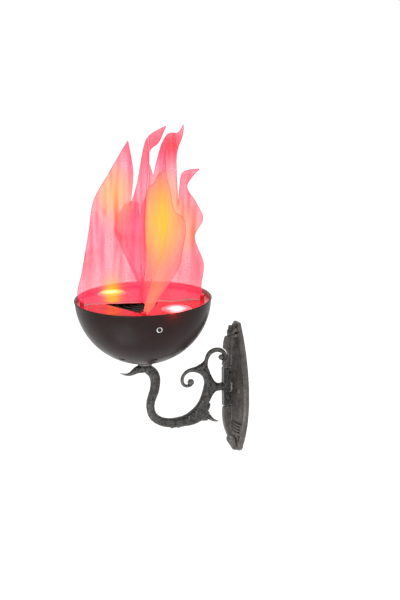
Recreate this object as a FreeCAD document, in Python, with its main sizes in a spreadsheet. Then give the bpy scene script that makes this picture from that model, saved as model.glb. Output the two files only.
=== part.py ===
"""Torch sconce: a spun bowl with silk flames on a cast scroll bracket and a wall plate.

Millimetres. The origin is the middle of the wall screws, on the wall. +Z is up, +X is
along the wall and the light stands out towards -Y.
"""
import FreeCAD, Part
import math
import os
import Sketcher
from FreeCAD import Placement, Rotation, Vector

DRIVING_SIZES = {
    # where the bowl hangs, from the middle of the wall plate
    "reach": 230.0,
    "rim_height": 242.0,
    # spun bowl
    "bowl_radius": 150.0,
    "bowl_depth": 147.0,
    "bowl_wall": 1.5,
    "rim_bead": 1.9,
    "vent_count": 8.0,
    "vent_ring": 92.0,
    "vent_length": 15.0,
    "vent_width": 6.0,
    "vent_turn": 0.0,
    # fixings round the bowl, counted from the screw nearest the front
    "first_screw_angle": -6.0,
    "screw_drop": 33.0,
    "screw_radius": 2.0,
    "screw_head_radius": 4.4,
    "screw_washer_radius": 6.2,
    "screw_washer_thick": 0.9,
    "bracket_count": 3.0,
    "bracket_width": 16.0,
    "bracket_tab": 17.0,
    "bracket_leg": 28.0,
    "bracket_thick": 2.0,
    # deck: a shallow pan that carries the film, the fan and the lamps
    "film_drop": 9.0,
    "film_thick": 0.6,
    "deck_lip": 5.0,
    "deck_thick": 1.6,
    "deck_gap": 0.8,
    # axial fan under the deck
    "fan_width": 120.0,
    "fan_depth": 25.0,
    "fan_wall": 2.5,
    "fan_angle": 24.0,
    "fan_bolt_spacing": 105.0,
    "fan_screw_radius": 2.0,
    "hub_radius": 20.0,
    "hub_height": 16.0,
    "blade_count": 7.0,
    "blade_thick": 1.6,
    "blade_chord": 26.0,
    "blade_pitch": 38.0,
    "tip_gap": 1.5,
    "shaft_radius": 1.5,
    "shaft_gap": 0.05,
    "arm_width": 5.0,
    "guard_wire": 1.0,
    "guard_rings": 4.0,
    "guard_lug": 1.6,
    # lamps
    "lamp_inset": 46.0,
    "lamp_angle": 24.0,
    "lamp_radius": 25.0,
    "lamp_height": 34.0,
    "lamp_neck": 8.0,
    "glass_thick": 2.0,
    "bezel_width": 8.5,
    "bezel_height": 3.0,
    "bezel_wall": 1.6,
    "socket_height": 14.0,
    "fit_gap": 0.3,
    "screw_gap": 0.1,
    "thread_gap": 0.05,
    # clamp between the bowl and the arm
    "nipple_radius": 5.0,
    "nipple_bore": 3.4,
    "nipple_engaged": 16.0,
    "nut_across": 17.0,
    "nut_height": 5.0,
    "washer_radius": 17.0,
    "washer_thick": 1.5,
    "gasket_thick": 2.0,
    # tray and driver inside the bowl
    "tray_height": 28.0,
    "tray_length": 96.0,
    "tray_width": 74.0,
    "tray_thick": 1.5,
    "driver_length": 86.0,
    "driver_width": 34.0,
    "driver_height": 26.0,
    # cable entry at the back of the bowl
    "gland_angle": 156.0,
    "gland_tilt": 28.0,
    "gland_radius": 6.0,
    "gland_length": 15.0,
    # wall plate
    "plate_top": 158.0,
    "plate_top_half": 12.0,
    "plate_half": 57.0,
    "plate_waist": -10.0,
    "plate_bottom": 160.0,
    "plate_tail": 141.0,
    "plate_tail_half": 22.0,
    "plate_edge": 6.0,
    "border_width": 8.0,
    "bevel_width": 5.0,
    "bevel_rise": 6.0,
    "channel_width": 2.5,
    "palmette_drop": 34.0,
    "palmette_out": 27.0,
    "ridge_height": 21.0,
    "rib_front": 43.0,
    "rib_width": 10.0,
    "rib_gap": 3.0,
    "scroll_gap": 1.2,
    "plate_wall": 4.0,
    "channel_depth": 2.5,
    "crest_top_drop": 34.0,
    "crest_low_rise": 42.0,
    # steel strap on the wall
    "strap_thick": 2.5,
    "strap_width": 40.0,
    "strap_length": 220.0,
    "strap_ears": 72.0,
    "wall_screw_spacing": 180.0,
    "wall_screw_radius": 2.75,
    "wire_hole_radius": 11.0,
    "plate_screw_offset": 26.0,
    "plate_screw_radius": 2.0,
    "plate_screw_seat": 17.5,
    "boss_radius": 6.0,
    # cast arm
    "foot_height": 95.0,
    "foot_middle": 6.5,
    "foot_screw_offset": 30.0,
    "foot_screw_radius": 2.5,
    "foot_screw_reach": 12.0,
    "strut_radius": 9.0,
    "strut_height": 7.0,
    "collar_radius": 16.0,
    "collar_thick": 6.0,
    "stem_reach": 80.0,
    "arm_depth": 64.0,
    "seat_radius": 18.6,
    "seat_height": 9.0,
    "seat_edge": 3.0,
    "flute_spread": 6.5,
    # silk flames
    "silk_thick": 1.2,
    "silk_gap": 0.5,
    "silk_slit": 120.0,
    "clip_length": 9.0,
    "clip_width": 11.0,
    "clip_height": 11.0,
}


class Size(float):
    """A number that remembers the formula it came from, so that a property can be bound to it."""

    def __new__(cls, number, formula):
        made = float.__new__(cls, number)
        made.formula = formula
        return made

    def __add__(self, other):
        return Size(float(self) + float(other), f"({self.formula} + {written(other)})")

    def __radd__(self, other):
        return Size(float(other) + float(self), f"({written(other)} + {self.formula})")

    def __sub__(self, other):
        return Size(float(self) - float(other), f"({self.formula} - {written(other)})")

    def __rsub__(self, other):
        return Size(float(other) - float(self), f"({written(other)} - {self.formula})")

    def __mul__(self, other):
        return Size(float(self) * float(other), f"({self.formula} * {written(other)})")

    def __rmul__(self, other):
        return Size(float(other) * float(self), f"({written(other)} * {self.formula})")

    def __truediv__(self, other):
        return Size(float(self) / float(other), f"({self.formula} / {written(other)})")

    def __neg__(self):
        return Size(-float(self), f"(-{self.formula})")


def written(number):
    """The formula of a size, or a plain number's own digits."""
    if isinstance(number, Size):
        return number.formula
    return f"({float(number):.6f})"


def root(number):
    return Size(math.sqrt(number), f"sqrt({written(number)})")


def cosine(degrees):
    return Size(math.cos(math.radians(degrees)), f"cos({written(degrees)})")


def sine(degrees):
    return Size(math.sin(math.radians(degrees)), f"sin({written(degrees)})")


doc = FreeCAD.newDocument("torch_sconce")
sheet = doc.addObject("Spreadsheet::Sheet", "Sizes")
for row, (alias, number) in enumerate(DRIVING_SIZES.items(), start=1):
    sheet.set(f"A{row}", alias.replace("_", " "))
    sheet.set(f"B{row}", str(number))
    sheet.setAlias(f"B{row}", alias)
doc.recompute()


class Sizes:
    """The driving sizes, read back from the sheet, each with its cell's name as its formula."""

    def __getattr__(self, alias):
        return Size(float(sheet.get(alias)), f"Sizes.{alias}")


d = Sizes()
NODES = []


# ---------------------------------------------------------------- drawing helpers

def bind(thing, **sizes):
    """Set each property, and bind it to its size's formula."""
    for name, number in sizes.items():
        setattr(thing, name, int(number) if name in ("Occurrences", "Polygon") else float(number))
        if isinstance(number, Size):
            thing.setExpression(name, number.formula)
    return thing


def place(thing, x=0.0, y=0.0, z=0.0, turn=None):
    """Put a piece at a point, with its coordinates bound to their sizes."""
    thing.Placement = Placement(Vector(x, y, z), turn or Rotation())
    for axis, number in zip("xyz", (x, y, z)):
        if isinstance(number, Size):
            thing.setExpression(f".Placement.Base.{axis}", number.formula)
    return thing


def keep(thing, node):
    """Name a finished piece as a node of the part."""
    thing.Label = node
    NODES.append(thing)
    return thing


def new_body(name):
    made = doc.addObject("PartDesign::Body", name)
    made.AllowCompound = True
    return made


def at_rim(thing, angle=0.0):
    """Stand a piece on the bowl's axis, with its origin in the rim's plane."""
    place(thing, 0.0, -d.reach, d.rim_height, Rotation(Vector(0, 0, 1), float(angle)))
    if isinstance(angle, Size):
        thing.setExpression(".Placement.Rotation.Angle", angle.formula)
    return thing


def sketch_on(owner, name, role="XY_Plane", offset=0.0):
    """A sketch on one of the body's own planes, lifted off it by an offset."""
    drawn = owner.newObject("Sketcher::SketchObject", name)
    plane = next(one for one in owner.Origin.OriginFeatures if one.Role == role)
    drawn.AttachmentSupport = [(plane, "")]
    drawn.MapMode = "FlatFace"
    drawn.AttachmentOffset = Placement(Vector(0, 0, offset), Rotation())
    if isinstance(offset, Size):
        drawn.setExpression(".AttachmentOffset.Base.z", offset.formula)
    return drawn


def limit(drawn, kind, *what):
    """Add one dimension to a sketch, bound to its size's formula."""
    number = what[-1]
    index = drawn.addConstraint(Sketcher.Constraint(kind, *what[:-1], float(number)))
    if isinstance(number, Size):
        drawn.setExpression(f"Constraints[{index}]", number.formula)


def pin(drawn, piece, end, x, y):
    """Fix one point of a sketch by its two distances from the origin."""
    limit(drawn, "DistanceX", -1, 1, piece, end, x)
    limit(drawn, "DistanceY", -1, 1, piece, end, y)


def circle(drawn, radius, x=0.0, y=0.0):
    made = drawn.addGeometry(Part.Circle(Vector(x, y, 0), Vector(0, 0, 1), float(radius)), False)
    pin(drawn, made, 3, x, y)
    limit(drawn, "Radius", made, radius)


def outline(drawn, corners):
    """A closed outline. A corner is (x, y), or (x, y, bulge) where an arc leaves it, bulging
    to the right of the way it goes by that much."""
    ends = []
    for (x, y, *bulge), after in zip(corners, corners[1:] + corners[:1]):
        begin = Vector(x, y, 0)
        end = Vector(after[0], after[1], 0)
        if bulge:
            right = Vector(end.y - begin.y, begin.x - end.x, 0).normalize()
            middle = (begin + end) / 2 + right * float(bulge[0])
            made = drawn.addGeometry(Part.Arc(begin, middle, end), False)
        else:
            made = drawn.addGeometry(Part.LineSegment(begin, end), False)
        forward = drawn.getPoint(made, 1).distanceToPoint(begin) < 1e-6
        ends.append((made, 1 if forward else 2, 2 if forward else 1))
    for (made, begin, end), (other, other_begin, other_end) in zip(ends, ends[1:] + ends[:1]):
        drawn.addConstraint(Sketcher.Constraint("Coincident", made, end, other, other_begin))
    for (made, begin, end), (x, y, *bulge), after in zip(ends, corners, corners[1:] + corners[:1]):
        pin(drawn, made, begin, x, y)
        if bulge:
            across = (after[0] - x) * (after[0] - x) + (after[1] - y) * (after[1] - y)
            radius = (across / 4.0 + bulge[0] * bulge[0]) / (2.0 * bulge[0])
            if float(radius) < 0:
                radius = -radius
            limit(drawn, "Radius", made, radius)


def rectangle(drawn, width, height, x=0.0, y=0.0):
    outline(drawn, [(x - width / 2, y - height / 2), (x + width / 2, y - height / 2),
                    (x + width / 2, y + height / 2), (x - width / 2, y + height / 2)])


def pad(owner, drawn, length, midplane=False):
    made = owner.newObject("PartDesign::Pad", "pad")
    made.Profile = drawn
    made.Midplane = midplane
    bind(made, Length=length)
    doc.recompute()
    return made


def pocket(owner, drawn, length, upwards=False):
    """Cut a sketch into the body, downwards unless told otherwise, and see that it cuts."""
    before = owner.Shape.Volume
    made = owner.newObject("PartDesign::Pocket", "pocket")
    made.Profile = drawn
    made.Reversed = upwards
    bind(made, Length=length)
    doc.recompute()
    if owner.Shape.Volume > before - 0.01:
        raise RuntimeError(f"{drawn.Name} cut nothing from {owner.Name}")
    return made


def turned(owner, name, corners, axis=None, cut=False):
    """Turn an outline in the XZ plane about the Z axis, or about a line given by two points."""
    drawn = sketch_on(owner, name, "XZ_Plane")
    outline(drawn, corners)
    reference = "V_Axis"
    if axis:
        (ax, ay), (bx, by) = axis
        line = drawn.addGeometry(Part.LineSegment(Vector(ax, ay, 0), Vector(bx, by, 0)), True)
        pin(drawn, line, 1, ax, ay)
        pin(drawn, line, 2, bx, by)
        reference = "Axis0"
    made = owner.newObject("PartDesign::Groove" if cut else "PartDesign::Revolution", "turn")
    made.Profile = drawn
    made.ReferenceAxis = (drawn, [reference])
    made.Angle = 360.0
    before = owner.Shape.Volume if cut else 0.0
    doc.recompute()
    if cut and owner.Shape.Volume > before - 0.01:
        raise RuntimeError(f"{name} cut nothing from {owner.Name}")
    return made


def repeat(owner, features, count):
    """Repeat features evenly round the body's Z axis."""
    made = owner.newObject("PartDesign::PolarPattern", "repeat")
    made.Originals = features
    z_axis = next(one for one in owner.Origin.OriginFeatures if one.Role == "Z_Axis")
    made.Axis = (z_axis, [""])
    made.Angle = 360.0
    bind(made, Occurrences=count)
    owner.Tip = made
    doc.recompute()
    return made


def head_above(radius, edge, height):
    """The corners of a round screw head from its rim inwards: a straight edge, a low dome and
    a socket for the driver in the middle. Pairs are (out from the axis, up from the seat)."""
    socket = radius * 0.4
    return [(radius, 0.0), (radius, edge, (height - edge) * 0.3), (socket, height),
            (socket, height * 0.35), (0.0, height * 0.35)]


def turned_piece(node, corners):
    """A body turned about its own Z axis."""
    made = new_body(node)
    turned(made, f"{node}_profile", corners)
    return made


# ---------------------------------------------------------------- bowl and its clamp

# The bowl is a cap of a sphere whose centre lies a little above the rim.
sphere_rise = (d.bowl_radius * d.bowl_radius - d.bowl_depth * d.bowl_depth) / (2 * d.bowl_depth)
sphere_radius = d.bowl_depth + sphere_rise
inner_radius = sphere_radius - d.bowl_wall


def radius_at(drop, sphere):
    """The sphere's radius in the level plane at a drop below the rim."""
    return root(sphere * sphere - (sphere_rise + drop) * (sphere_rise + drop))


def on_bowl_normal(drop, sphere):
    """The point of the sphere at a drop, and the unit vector that leaves it squarely."""
    out = radius_at(drop, sphere) / sphere
    down = (sphere_rise + drop) / sphere
    return (out * sphere, -drop), (out, -down)


def along_normal(drop, sphere, steps):
    """Points given by (out of the surface, along the surface downwards) from that normal."""
    (x, z), (nx, nz) = on_bowl_normal(drop, sphere)
    return [(x + nx * out + nz * side, z + nz * out - nx * side) for out, side in steps]


def bulge_between(begin, end, sphere):
    """How far the sphere's arc stands out of the chord between two of its points."""
    half = ((end[0] - begin[0]) * (end[0] - begin[0]) + (end[1] - begin[1]) * (end[1] - begin[1])) / 4.0
    return sphere - root(sphere * sphere - half)


def make_bowl():
    shell = at_rim(new_body("bowl_shell"), d.first_screw_angle)
    outer = [(0.0, -d.bowl_depth), (d.bowl_radius, 0.0)]
    inner_rim = radius_at(0.0, inner_radius)
    inner = [(inner_rim, 0.0), (0.0, d.bowl_wall - d.bowl_depth)]
    turned(shell, "bowl_profile", [
        (*outer[0], bulge_between(*outer, sphere_radius)), outer[1],
        (*inner[0], -bulge_between(*inner, inner_radius)), inner[1]])
    middle = d.bowl_radius - d.bowl_wall / 2
    turned(shell, "bead_profile", [
        (middle, -2 * d.rim_bead, d.rim_bead * 0.999), (middle, 0.0, d.rim_bead * 0.999)])
    stud = sketch_on(shell, "nipple_hole", "XY_Plane", -d.bowl_depth - 5)
    circle(stud, d.nipple_radius + d.fit_gap)
    pocket(shell, stud, 20.0, upwards=True)
    ends = (d.vent_length - d.vent_width) / 2
    slot = sketch_on(shell, "vent_slot", "XY_Plane", -d.bowl_depth - 5)
    half = d.vent_width / 2
    outline(slot, [(d.vent_ring - half, -ends), (d.vent_ring - half, ends, -half * 0.999),
                   (d.vent_ring + half, ends), (d.vent_ring + half, -ends, -half * 0.999)])
    vent = pocket(shell, slot, d.bowl_depth - 80, upwards=True)
    repeat(shell, [vent], d.vent_count)
    side = d.screw_radius + d.fit_gap
    hole = along_normal(d.screw_drop, sphere_radius, [(4, 0), (4, side), (-6, side), (-6, 0)])
    bore = turned(shell, "screw_hole", hole, axis=(hole[0], hole[3]), cut=True)
    repeat(shell, [bore], d.bracket_count)
    entry = doc.addObject("Part::Cylinder", "gland_hole")
    bind(entry, Radius=d.gland_radius + d.fit_gap, Height=24.0)
    place(entry, *gland_point(-12.0), gland_lean())
    drilled = doc.addObject("Part::Cut", "bowl_drilled")
    drilled.Base = shell
    drilled.Tool = entry
    keep(drilled, "bowl")


def gland_point(out):
    """A point on the gland's axis, this far out of the bowl's skin, in the part's frame."""
    far = sphere_radius + out
    bearing = d.gland_angle + d.first_screw_angle
    level = far * sine(d.gland_tilt)
    return (level * cosine(bearing), level * sine(bearing) - d.reach,
            d.rim_height + sphere_rise - far * cosine(d.gland_tilt))


def gland_lean():
    """Turns a piece's own Z to point squarely out of the bowl at the gland."""
    bearing = Rotation(Vector(0, 0, 1), float(d.gland_angle + d.first_screw_angle))
    return bearing * Rotation(Vector(0, 1, 0), 180.0 - float(d.gland_tilt))


def make_gland():
    """A domed gland outside the skin and its nut inside, square to the bowl."""
    bore = d.gland_radius * 0.55
    flange = d.gland_radius * 1.6
    body = turned_piece("gland_body", [
        (bore, -9.0), (d.gland_radius, -9.0), (d.gland_radius, 0.0), (flange, 0.0), (flange, 3.0),
        (d.gland_radius * 1.35, 4.0), (d.gland_radius * 1.2, d.gland_length, -1.2),
        (bore, d.gland_length)])
    keep(place(body, *gland_point(0.0), gland_lean()), "cable_gland")
    nut = nut_body("gland_ring", d.gland_radius + d.thread_gap, d.gland_radius * 3.0, 4.0)
    inside = d.bowl_wall + 4.0 + d.fit_gap * 2
    keep(place(nut, *gland_point(-inside), gland_lean()), "gland_nut")


def nut_body(name, bore, across, height):
    """A six-sided nut standing on its own XY plane."""
    made = new_body(name)
    drawn = sketch_on(made, f"{name}_plan")
    corner = across / math.sqrt(3.0)
    outline(drawn, [(corner * cosine(60.0 * step), corner * sine(60.0 * step)) for step in range(6)])
    circle(drawn, bore)
    pad(made, drawn, height)
    return made


def make_clamp():
    """What holds the bowl to the arm: gasket, nipple, washer and two nuts."""
    under = -d.bowl_depth
    edge = radius_sag(d.washer_radius)
    gasket = turned_piece("seat_gasket", [
        (d.nipple_radius + d.fit_gap, under - d.gasket_thick),
        (d.washer_radius, under - d.gasket_thick),
        (d.washer_radius, under + edge, -edge * 0.25),
        (d.nipple_radius + d.fit_gap, under + radius_sag(d.nipple_radius + d.fit_gap))])
    keep(at_rim(gasket), "seat_gasket")
    inside = under + d.bowl_wall
    top = inside + d.tray_height + d.tray_thick + d.nut_height + 2.0
    tube = turned_piece("nipple_tube", [
        (d.nipple_bore, under - d.gasket_thick - d.nipple_engaged),
        (d.nipple_radius, under - d.gasket_thick - d.nipple_engaged),
        (d.nipple_radius, top), (d.nipple_bore, top)])
    keep(at_rim(tube), "nipple")
    bore = d.nipple_radius + d.thread_gap
    rest = inside + radius_sag(d.washer_radius)
    washer = turned_piece("inside_washer", [
        (bore, rest), (d.washer_radius, rest), (d.washer_radius, rest + d.washer_thick),
        (bore, rest + d.washer_thick)])
    keep(at_rim(washer), "bowl_washer")
    lower = nut_body("lower_nut", bore, d.nut_across, d.nut_height)
    place(lower, 0.0, -d.reach, d.rim_height + rest + d.washer_thick)
    keep(lower, "bowl_nut")
    under_tray = nut_body("under_nut", bore, d.nut_across, d.nut_height)
    place(under_tray, 0.0, -d.reach, d.rim_height + inside + d.tray_height - d.nut_height)
    over_tray = nut_body("over_nut", bore, d.nut_across, d.nut_height)
    place(over_tray, 0.0, -d.reach, d.rim_height + inside + d.tray_height + d.tray_thick)
    pair = doc.addObject("Part::Compound", "tray_nut_pair")
    pair.Links = [under_tray, over_tray]
    keep(pair, "tray_nuts")


def radius_sag(out):
    """How far the bowl's round bottom rises at this distance from its axis."""
    return sphere_radius - root(sphere_radius * sphere_radius - out * out)


# ---------------------------------------------------------------- deck, brackets, screws

deck_top = -d.film_drop - d.deck_lip
deck_under = deck_top - d.deck_thick
deck_radius = radius_at(d.film_drop + d.deck_lip, inner_radius) - d.deck_gap
bracket_screw_out = deck_radius - d.bracket_tab * 0.62
fan_bore = d.fan_width / 2 - d.fan_wall
fan_bolt_out = d.fan_bolt_spacing / math.sqrt(2.0)


def make_deck():
    pan = at_rim(new_body("deck_pan"), d.first_screw_angle)
    top = -d.film_drop
    turned(pan, "deck_profile", [
        (0.0, deck_under), (deck_radius, deck_under), (deck_radius, top),
        (deck_radius - d.deck_thick, top), (deck_radius - d.deck_thick, deck_top), (0.0, deck_top)])
    drawn = sketch_on(pan, "deck_holes", "XY_Plane", deck_top)
    circle(drawn, fan_bore)
    for side in (0.0, 180.0):
        bearing = d.lamp_angle + side - d.first_screw_angle
        circle(drawn, lamp_sleeve + d.fit_gap, lamp_ring * cosine(bearing), lamp_ring * sine(bearing))
    for quarter in range(4):
        bearing = d.fan_angle + 45.0 + 90.0 * quarter - d.first_screw_angle
        circle(drawn, d.fan_screw_radius + d.screw_gap, fan_bolt_out * cosine(bearing),
               fan_bolt_out * sine(bearing))
    pocket(pan, drawn, d.deck_thick * 2)
    hole = sketch_on(pan, "bracket_hole", "XY_Plane", deck_top)
    circle(hole, d.screw_radius + d.screw_gap, bracket_screw_out, 0.0)
    first = pocket(pan, hole, d.deck_thick * 2)
    repeat(pan, [first], d.bracket_count)
    keep(pan, "deck")


def make_brackets():
    """Three bent tabs that stand on the bowl's inner wall under the deck."""
    ring = at_rim(new_body("bracket_ring"), d.first_screw_angle)
    side = sketch_on(ring, "bracket_side", "XZ_Plane")
    low = deck_under - d.bracket_leg
    upper = radius_at(-deck_under, inner_radius) - d.fit_gap
    lower = radius_at(-low, inner_radius) - d.fit_gap
    outline(side, [
        (upper, deck_under), (lower, low), (lower - d.bracket_thick, low),
        (upper - d.bracket_thick, deck_under - d.bracket_thick),
        (upper - d.bracket_tab, deck_under - d.bracket_thick), (upper - d.bracket_tab, deck_under)])
    bent = pad(ring, side, d.bracket_width, midplane=True)
    drop = d.screw_radius + d.screw_gap
    hole = along_normal(d.screw_drop, sphere_radius, [(1, 0), (1, drop), (-12, drop), (-12, 0)])
    cross = turned(ring, "bracket_cross_hole", hole, axis=(hole[0], hole[3]), cut=True)
    down = sketch_on(ring, "bracket_deck_hole", "XY_Plane", deck_under)
    circle(down, d.screw_radius + d.screw_gap, bracket_screw_out, 0.0)
    drilled = pocket(ring, down, d.bracket_thick * 2)
    repeat(ring, [bent, cross, drilled], d.bracket_count)
    keep(ring, "deck_brackets")


def ring_of_screws(node, steps, drop=None):
    """Pieces turned about the bowl's normal at the screws' drop, one for each bracket."""
    ring = at_rim(new_body(f"{node}_ring"), d.first_screw_angle)
    corners = along_normal(d.screw_drop, sphere_radius, [step[:2] for step in steps])
    shaped = [(*corner, *step[2:]) for corner, step in zip(corners, steps)]
    axis = along_normal(d.screw_drop, sphere_radius, [(20, 0), (-20, 0)])
    first = turned(ring, f"{node}_profile", shaped, axis=axis)
    repeat(ring, [first], d.bracket_count)
    keep(ring, node)


def make_bowl_screws():
    washer_in = 0.1
    head = d.screw_washer_thick + washer_in
    tip = -14.0
    ring_of_screws("bowl_screw_washers", [
        (washer_in, d.screw_radius + d.screw_gap), (washer_in, d.screw_washer_radius),
        (head, d.screw_washer_radius), (head, d.screw_radius + d.screw_gap)])
    ring_of_screws("bowl_screws", [
        (tip, 0.0), (tip, d.screw_radius), (head, d.screw_radius),
        *((head + up, out, *bulge) for out, up, *bulge in head_above(d.screw_head_radius, 1.2, 2.8))])
    inner_side = -(d.bowl_wall + d.fit_gap + d.bracket_thick + 1.1)
    ring_of_screws("bowl_screw_nuts", [
        (inner_side - 3.0, d.screw_radius + d.thread_gap), (inner_side - 3.0, d.screw_radius * 1.8),
        (inner_side, d.screw_radius * 2.0), (inner_side, d.screw_radius + d.thread_gap)])
    deck_ring = at_rim(new_body("deck_screw_ring"), d.first_screw_angle)
    r = d.screw_radius
    x = bracket_screw_out
    first = turned(deck_ring, "deck_screw_profile", [
        (x, deck_top - 9.0), (x + r, deck_top - 9.0), (x + r, deck_top),
        *((x + out, deck_top + up, *bulge) for out, up, *bulge in head_above(2 * r, 1.0, 2.4))],
        axis=((x, deck_top), (x, deck_top + 10.0)))
    repeat(deck_ring, [first], d.bracket_count)
    keep(deck_ring, "deck_screws")


# ---------------------------------------------------------------- fan

fan_low = deck_under - d.fan_depth


def make_fan_frame():
    frame = at_rim(new_body("fan_housing"), d.fan_angle)
    plan = sketch_on(frame, "fan_square", "XY_Plane", fan_low)
    rectangle(plan, d.fan_width, d.fan_width)
    pad(frame, plan, d.fan_depth)
    inside = sketch_on(frame, "fan_bore", "XY_Plane", deck_under)
    circle(inside, fan_bore)
    half = d.fan_bolt_spacing / 2
    for x, y in ((half, half), (-half, half), (-half, -half), (half, -half)):
        circle(inside, d.fan_screw_radius + d.screw_gap, x, y)
    pocket(frame, inside, d.fan_depth + 1)
    base = sketch_on(frame, "motor_base", "XY_Plane", fan_low)
    circle(base, d.hub_radius)
    circle(base, d.shaft_radius + d.shaft_gap)
    pad(frame, base, 3.0)
    arm = sketch_on(frame, "motor_arm", "XY_Plane", fan_low)
    start = d.hub_radius - 3.0
    rectangle(arm, fan_bore + 1.0 - start, d.arm_width, (fan_bore + 1.0 + start) / 2, 0.0)
    first = pad(frame, arm, 3.0)
    repeat(frame, [first], 4)
    sleeve = sketch_on(frame, "bearing_sleeve", "XY_Plane", fan_low)
    circle(sleeve, d.shaft_radius + d.shaft_gap + 2.5)
    circle(sleeve, d.shaft_radius + d.shaft_gap)
    pad(frame, sleeve, 14.0)
    keep(frame, "fan_frame")


def make_fan_rotor():
    """A cupped hub on a shaft, with twisted blades."""
    rotor = at_rim(new_body("rotor"), d.fan_angle)
    low = fan_low + 4.0
    top = low + d.hub_height
    wall = 2.0
    turned(rotor, "hub_profile", [
        (0.0, fan_low + 1.0), (d.shaft_radius, fan_low + 1.0), (d.shaft_radius, top - wall),
        (d.hub_radius - wall, top - wall), (d.hub_radius - wall, low), (d.hub_radius, low),
        (d.hub_radius, top - 1.0, 0.35), (d.hub_radius - 1.0, top), (0.0, top)])
    middle = low + d.hub_height / 2
    sections = []
    for out, pitch, chord in ((d.hub_radius - 0.7, d.blade_pitch + 10, d.blade_chord * 0.72),
                              (fan_bore - d.tip_gap, d.blade_pitch - 12, d.blade_chord)):
        drawn = sketch_on(rotor, f"blade_{len(sections)}", "YZ_Plane", out)
        along = (cosine(pitch), sine(pitch))
        across = (sine(pitch), -cosine(pitch))
        reach_half = chord / 2
        thick = d.blade_thick / 2
        ends = [(-reach_half, -thick), (reach_half, -thick), (reach_half, thick), (-reach_half, thick)]
        placed = [(along[0] * u + across[0] * v, middle + along[1] * u + across[1] * v)
                  for u, v in ends]
        arcs = [(*placed[0], 2.2), placed[1], (*placed[2], -2.2), placed[3]]
        outline(drawn, arcs)
        sections.append(drawn)
    blade = rotor.newObject("PartDesign::AdditiveLoft", "blade")
    blade.Profile = sections[0]
    blade.Sections = sections[1:]
    blade.Ruled = True
    doc.recompute()
    repeat(rotor, [blade], d.blade_count)
    keep(rotor, "fan_rotor")


def make_fan_guard():
    """Rings of six-sided wire on crossed spokes, with a flat lug under each screw."""
    guard = at_rim(new_body("guard_wires"), d.fan_angle + 45.0)
    wire = d.guard_wire
    step = (fan_bore - 2.0) / d.guard_rings
    for number in range(int(d.guard_rings)):
        out = step * (number + 1) + 3.5
        turned(guard, f"guard_ring_{number}", [
            (out + wire * cosine(60.0 * corner), deck_top + wire + wire * sine(60.0 * corner))
            for corner in range(6)])
    for number, (width, height) in enumerate(((fan_bolt_out * 2, wire * 2), (wire * 2, fan_bolt_out * 2))):
        spoke = sketch_on(guard, f"guard_spoke_{number}", "XY_Plane", deck_top)
        rectangle(spoke, width, height)
        pad(guard, spoke, d.guard_lug)
    lugs = sketch_on(guard, "guard_lugs", "XY_Plane", deck_top)
    holes = sketch_on(guard, "guard_lug_holes", "XY_Plane", deck_top + d.guard_lug)
    for x, y in ((fan_bolt_out, 0.0), (-fan_bolt_out, 0.0), (0.0, fan_bolt_out), (0.0, -fan_bolt_out)):
        circle(lugs, d.fan_screw_radius * 2 + 1.0, x, y)
        circle(holes, d.fan_screw_radius + d.screw_gap, x, y)
    pad(guard, lugs, d.guard_lug)
    pocket(guard, holes, d.guard_lug * 2)
    keep(guard, "fan_guard")


def make_fan_screws():
    screws = at_rim(new_body("fan_screw_ring"), d.fan_angle + 45.0)
    x = fan_bolt_out
    r = d.fan_screw_radius
    top = deck_top + d.guard_lug
    first = turned(screws, "fan_screw_profile", [
        (x, fan_low - 3.0), (x + r, fan_low - 3.0), (x + r, top),
        *((x + out, top + up, *bulge) for out, up, *bulge in head_above(2 * r, 0.9, 1.8))],
        axis=((x, fan_low), (x, deck_top)))
    repeat(screws, [first], 4)
    keep(screws, "fan_screws")


# ---------------------------------------------------------------- lamps

lamp_ring = d.bowl_radius - d.lamp_inset
lamp_sleeve = d.lamp_radius + d.fit_gap + d.bezel_wall
film_top = -d.film_drop + d.film_thick


def make_lamp(name, side):
    """One lamp: bezel on the film, glass, reflector and socket, all on one upright axis."""
    bearing = d.lamp_angle + side
    x = lamp_ring * cosine(bearing)
    y = lamp_ring * sine(bearing) - d.reach
    z = d.rim_height + film_top
    rim = d.lamp_radius
    inner = rim + d.fit_gap
    seat = d.bezel_height - d.bezel_wall
    bezel = turned_piece(f"{name}_bezel_ring", [
        (inner, -6.0), (lamp_sleeve, -6.0), (lamp_sleeve, 0.0), (rim + d.bezel_width, 0.0),
        (rim + d.bezel_width, 0.8, 0.6), (rim + 2.0, d.bezel_height), (rim - 1.6, d.bezel_height),
        (rim - 1.6, seat), (inner, seat)])
    keep(place(bezel, x, y, z), f"{name}_bezel")
    glass_low = seat - d.glass_thick
    glass = turned_piece(f"{name}_glass_disc", [
        (0.0, glass_low), (rim, glass_low), (rim, seat), (rim - 2.5, seat, 0.2),
        (rim * 0.6, seat + 0.8), (rim * 0.6, seat + 0.3, 0.15), (rim * 0.28, seat + 0.9),
        (rim * 0.28, seat + 0.4), (0.0, seat + 0.4)])
    keep(place(glass, x, y, z), f"{name}_glass")
    neck = d.lamp_neck
    low = glass_low - d.lamp_height
    wall = 1.2
    cup = turned_piece(f"{name}_cup_shell", [
        (neck, low), (neck, low + 6.0, 4.5), (rim, glass_low),
        (rim - wall, glass_low, -4.5), (neck - wall, low + 6.0), (neck - wall, low)])
    keep(place(cup, x, y, z), f"{name}_reflector")
    socket = turned_piece(f"{name}_socket_block", [
        (0.0, low - d.socket_height), (neck + 1.5, low - d.socket_height), (neck + 1.5, low),
        (neck - wall - 0.1, low), (neck - wall - 0.1, low + 4.0), (0.0, low + 4.0)])
    keep(place(socket, x, y, z), f"{name}_socket")


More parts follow.
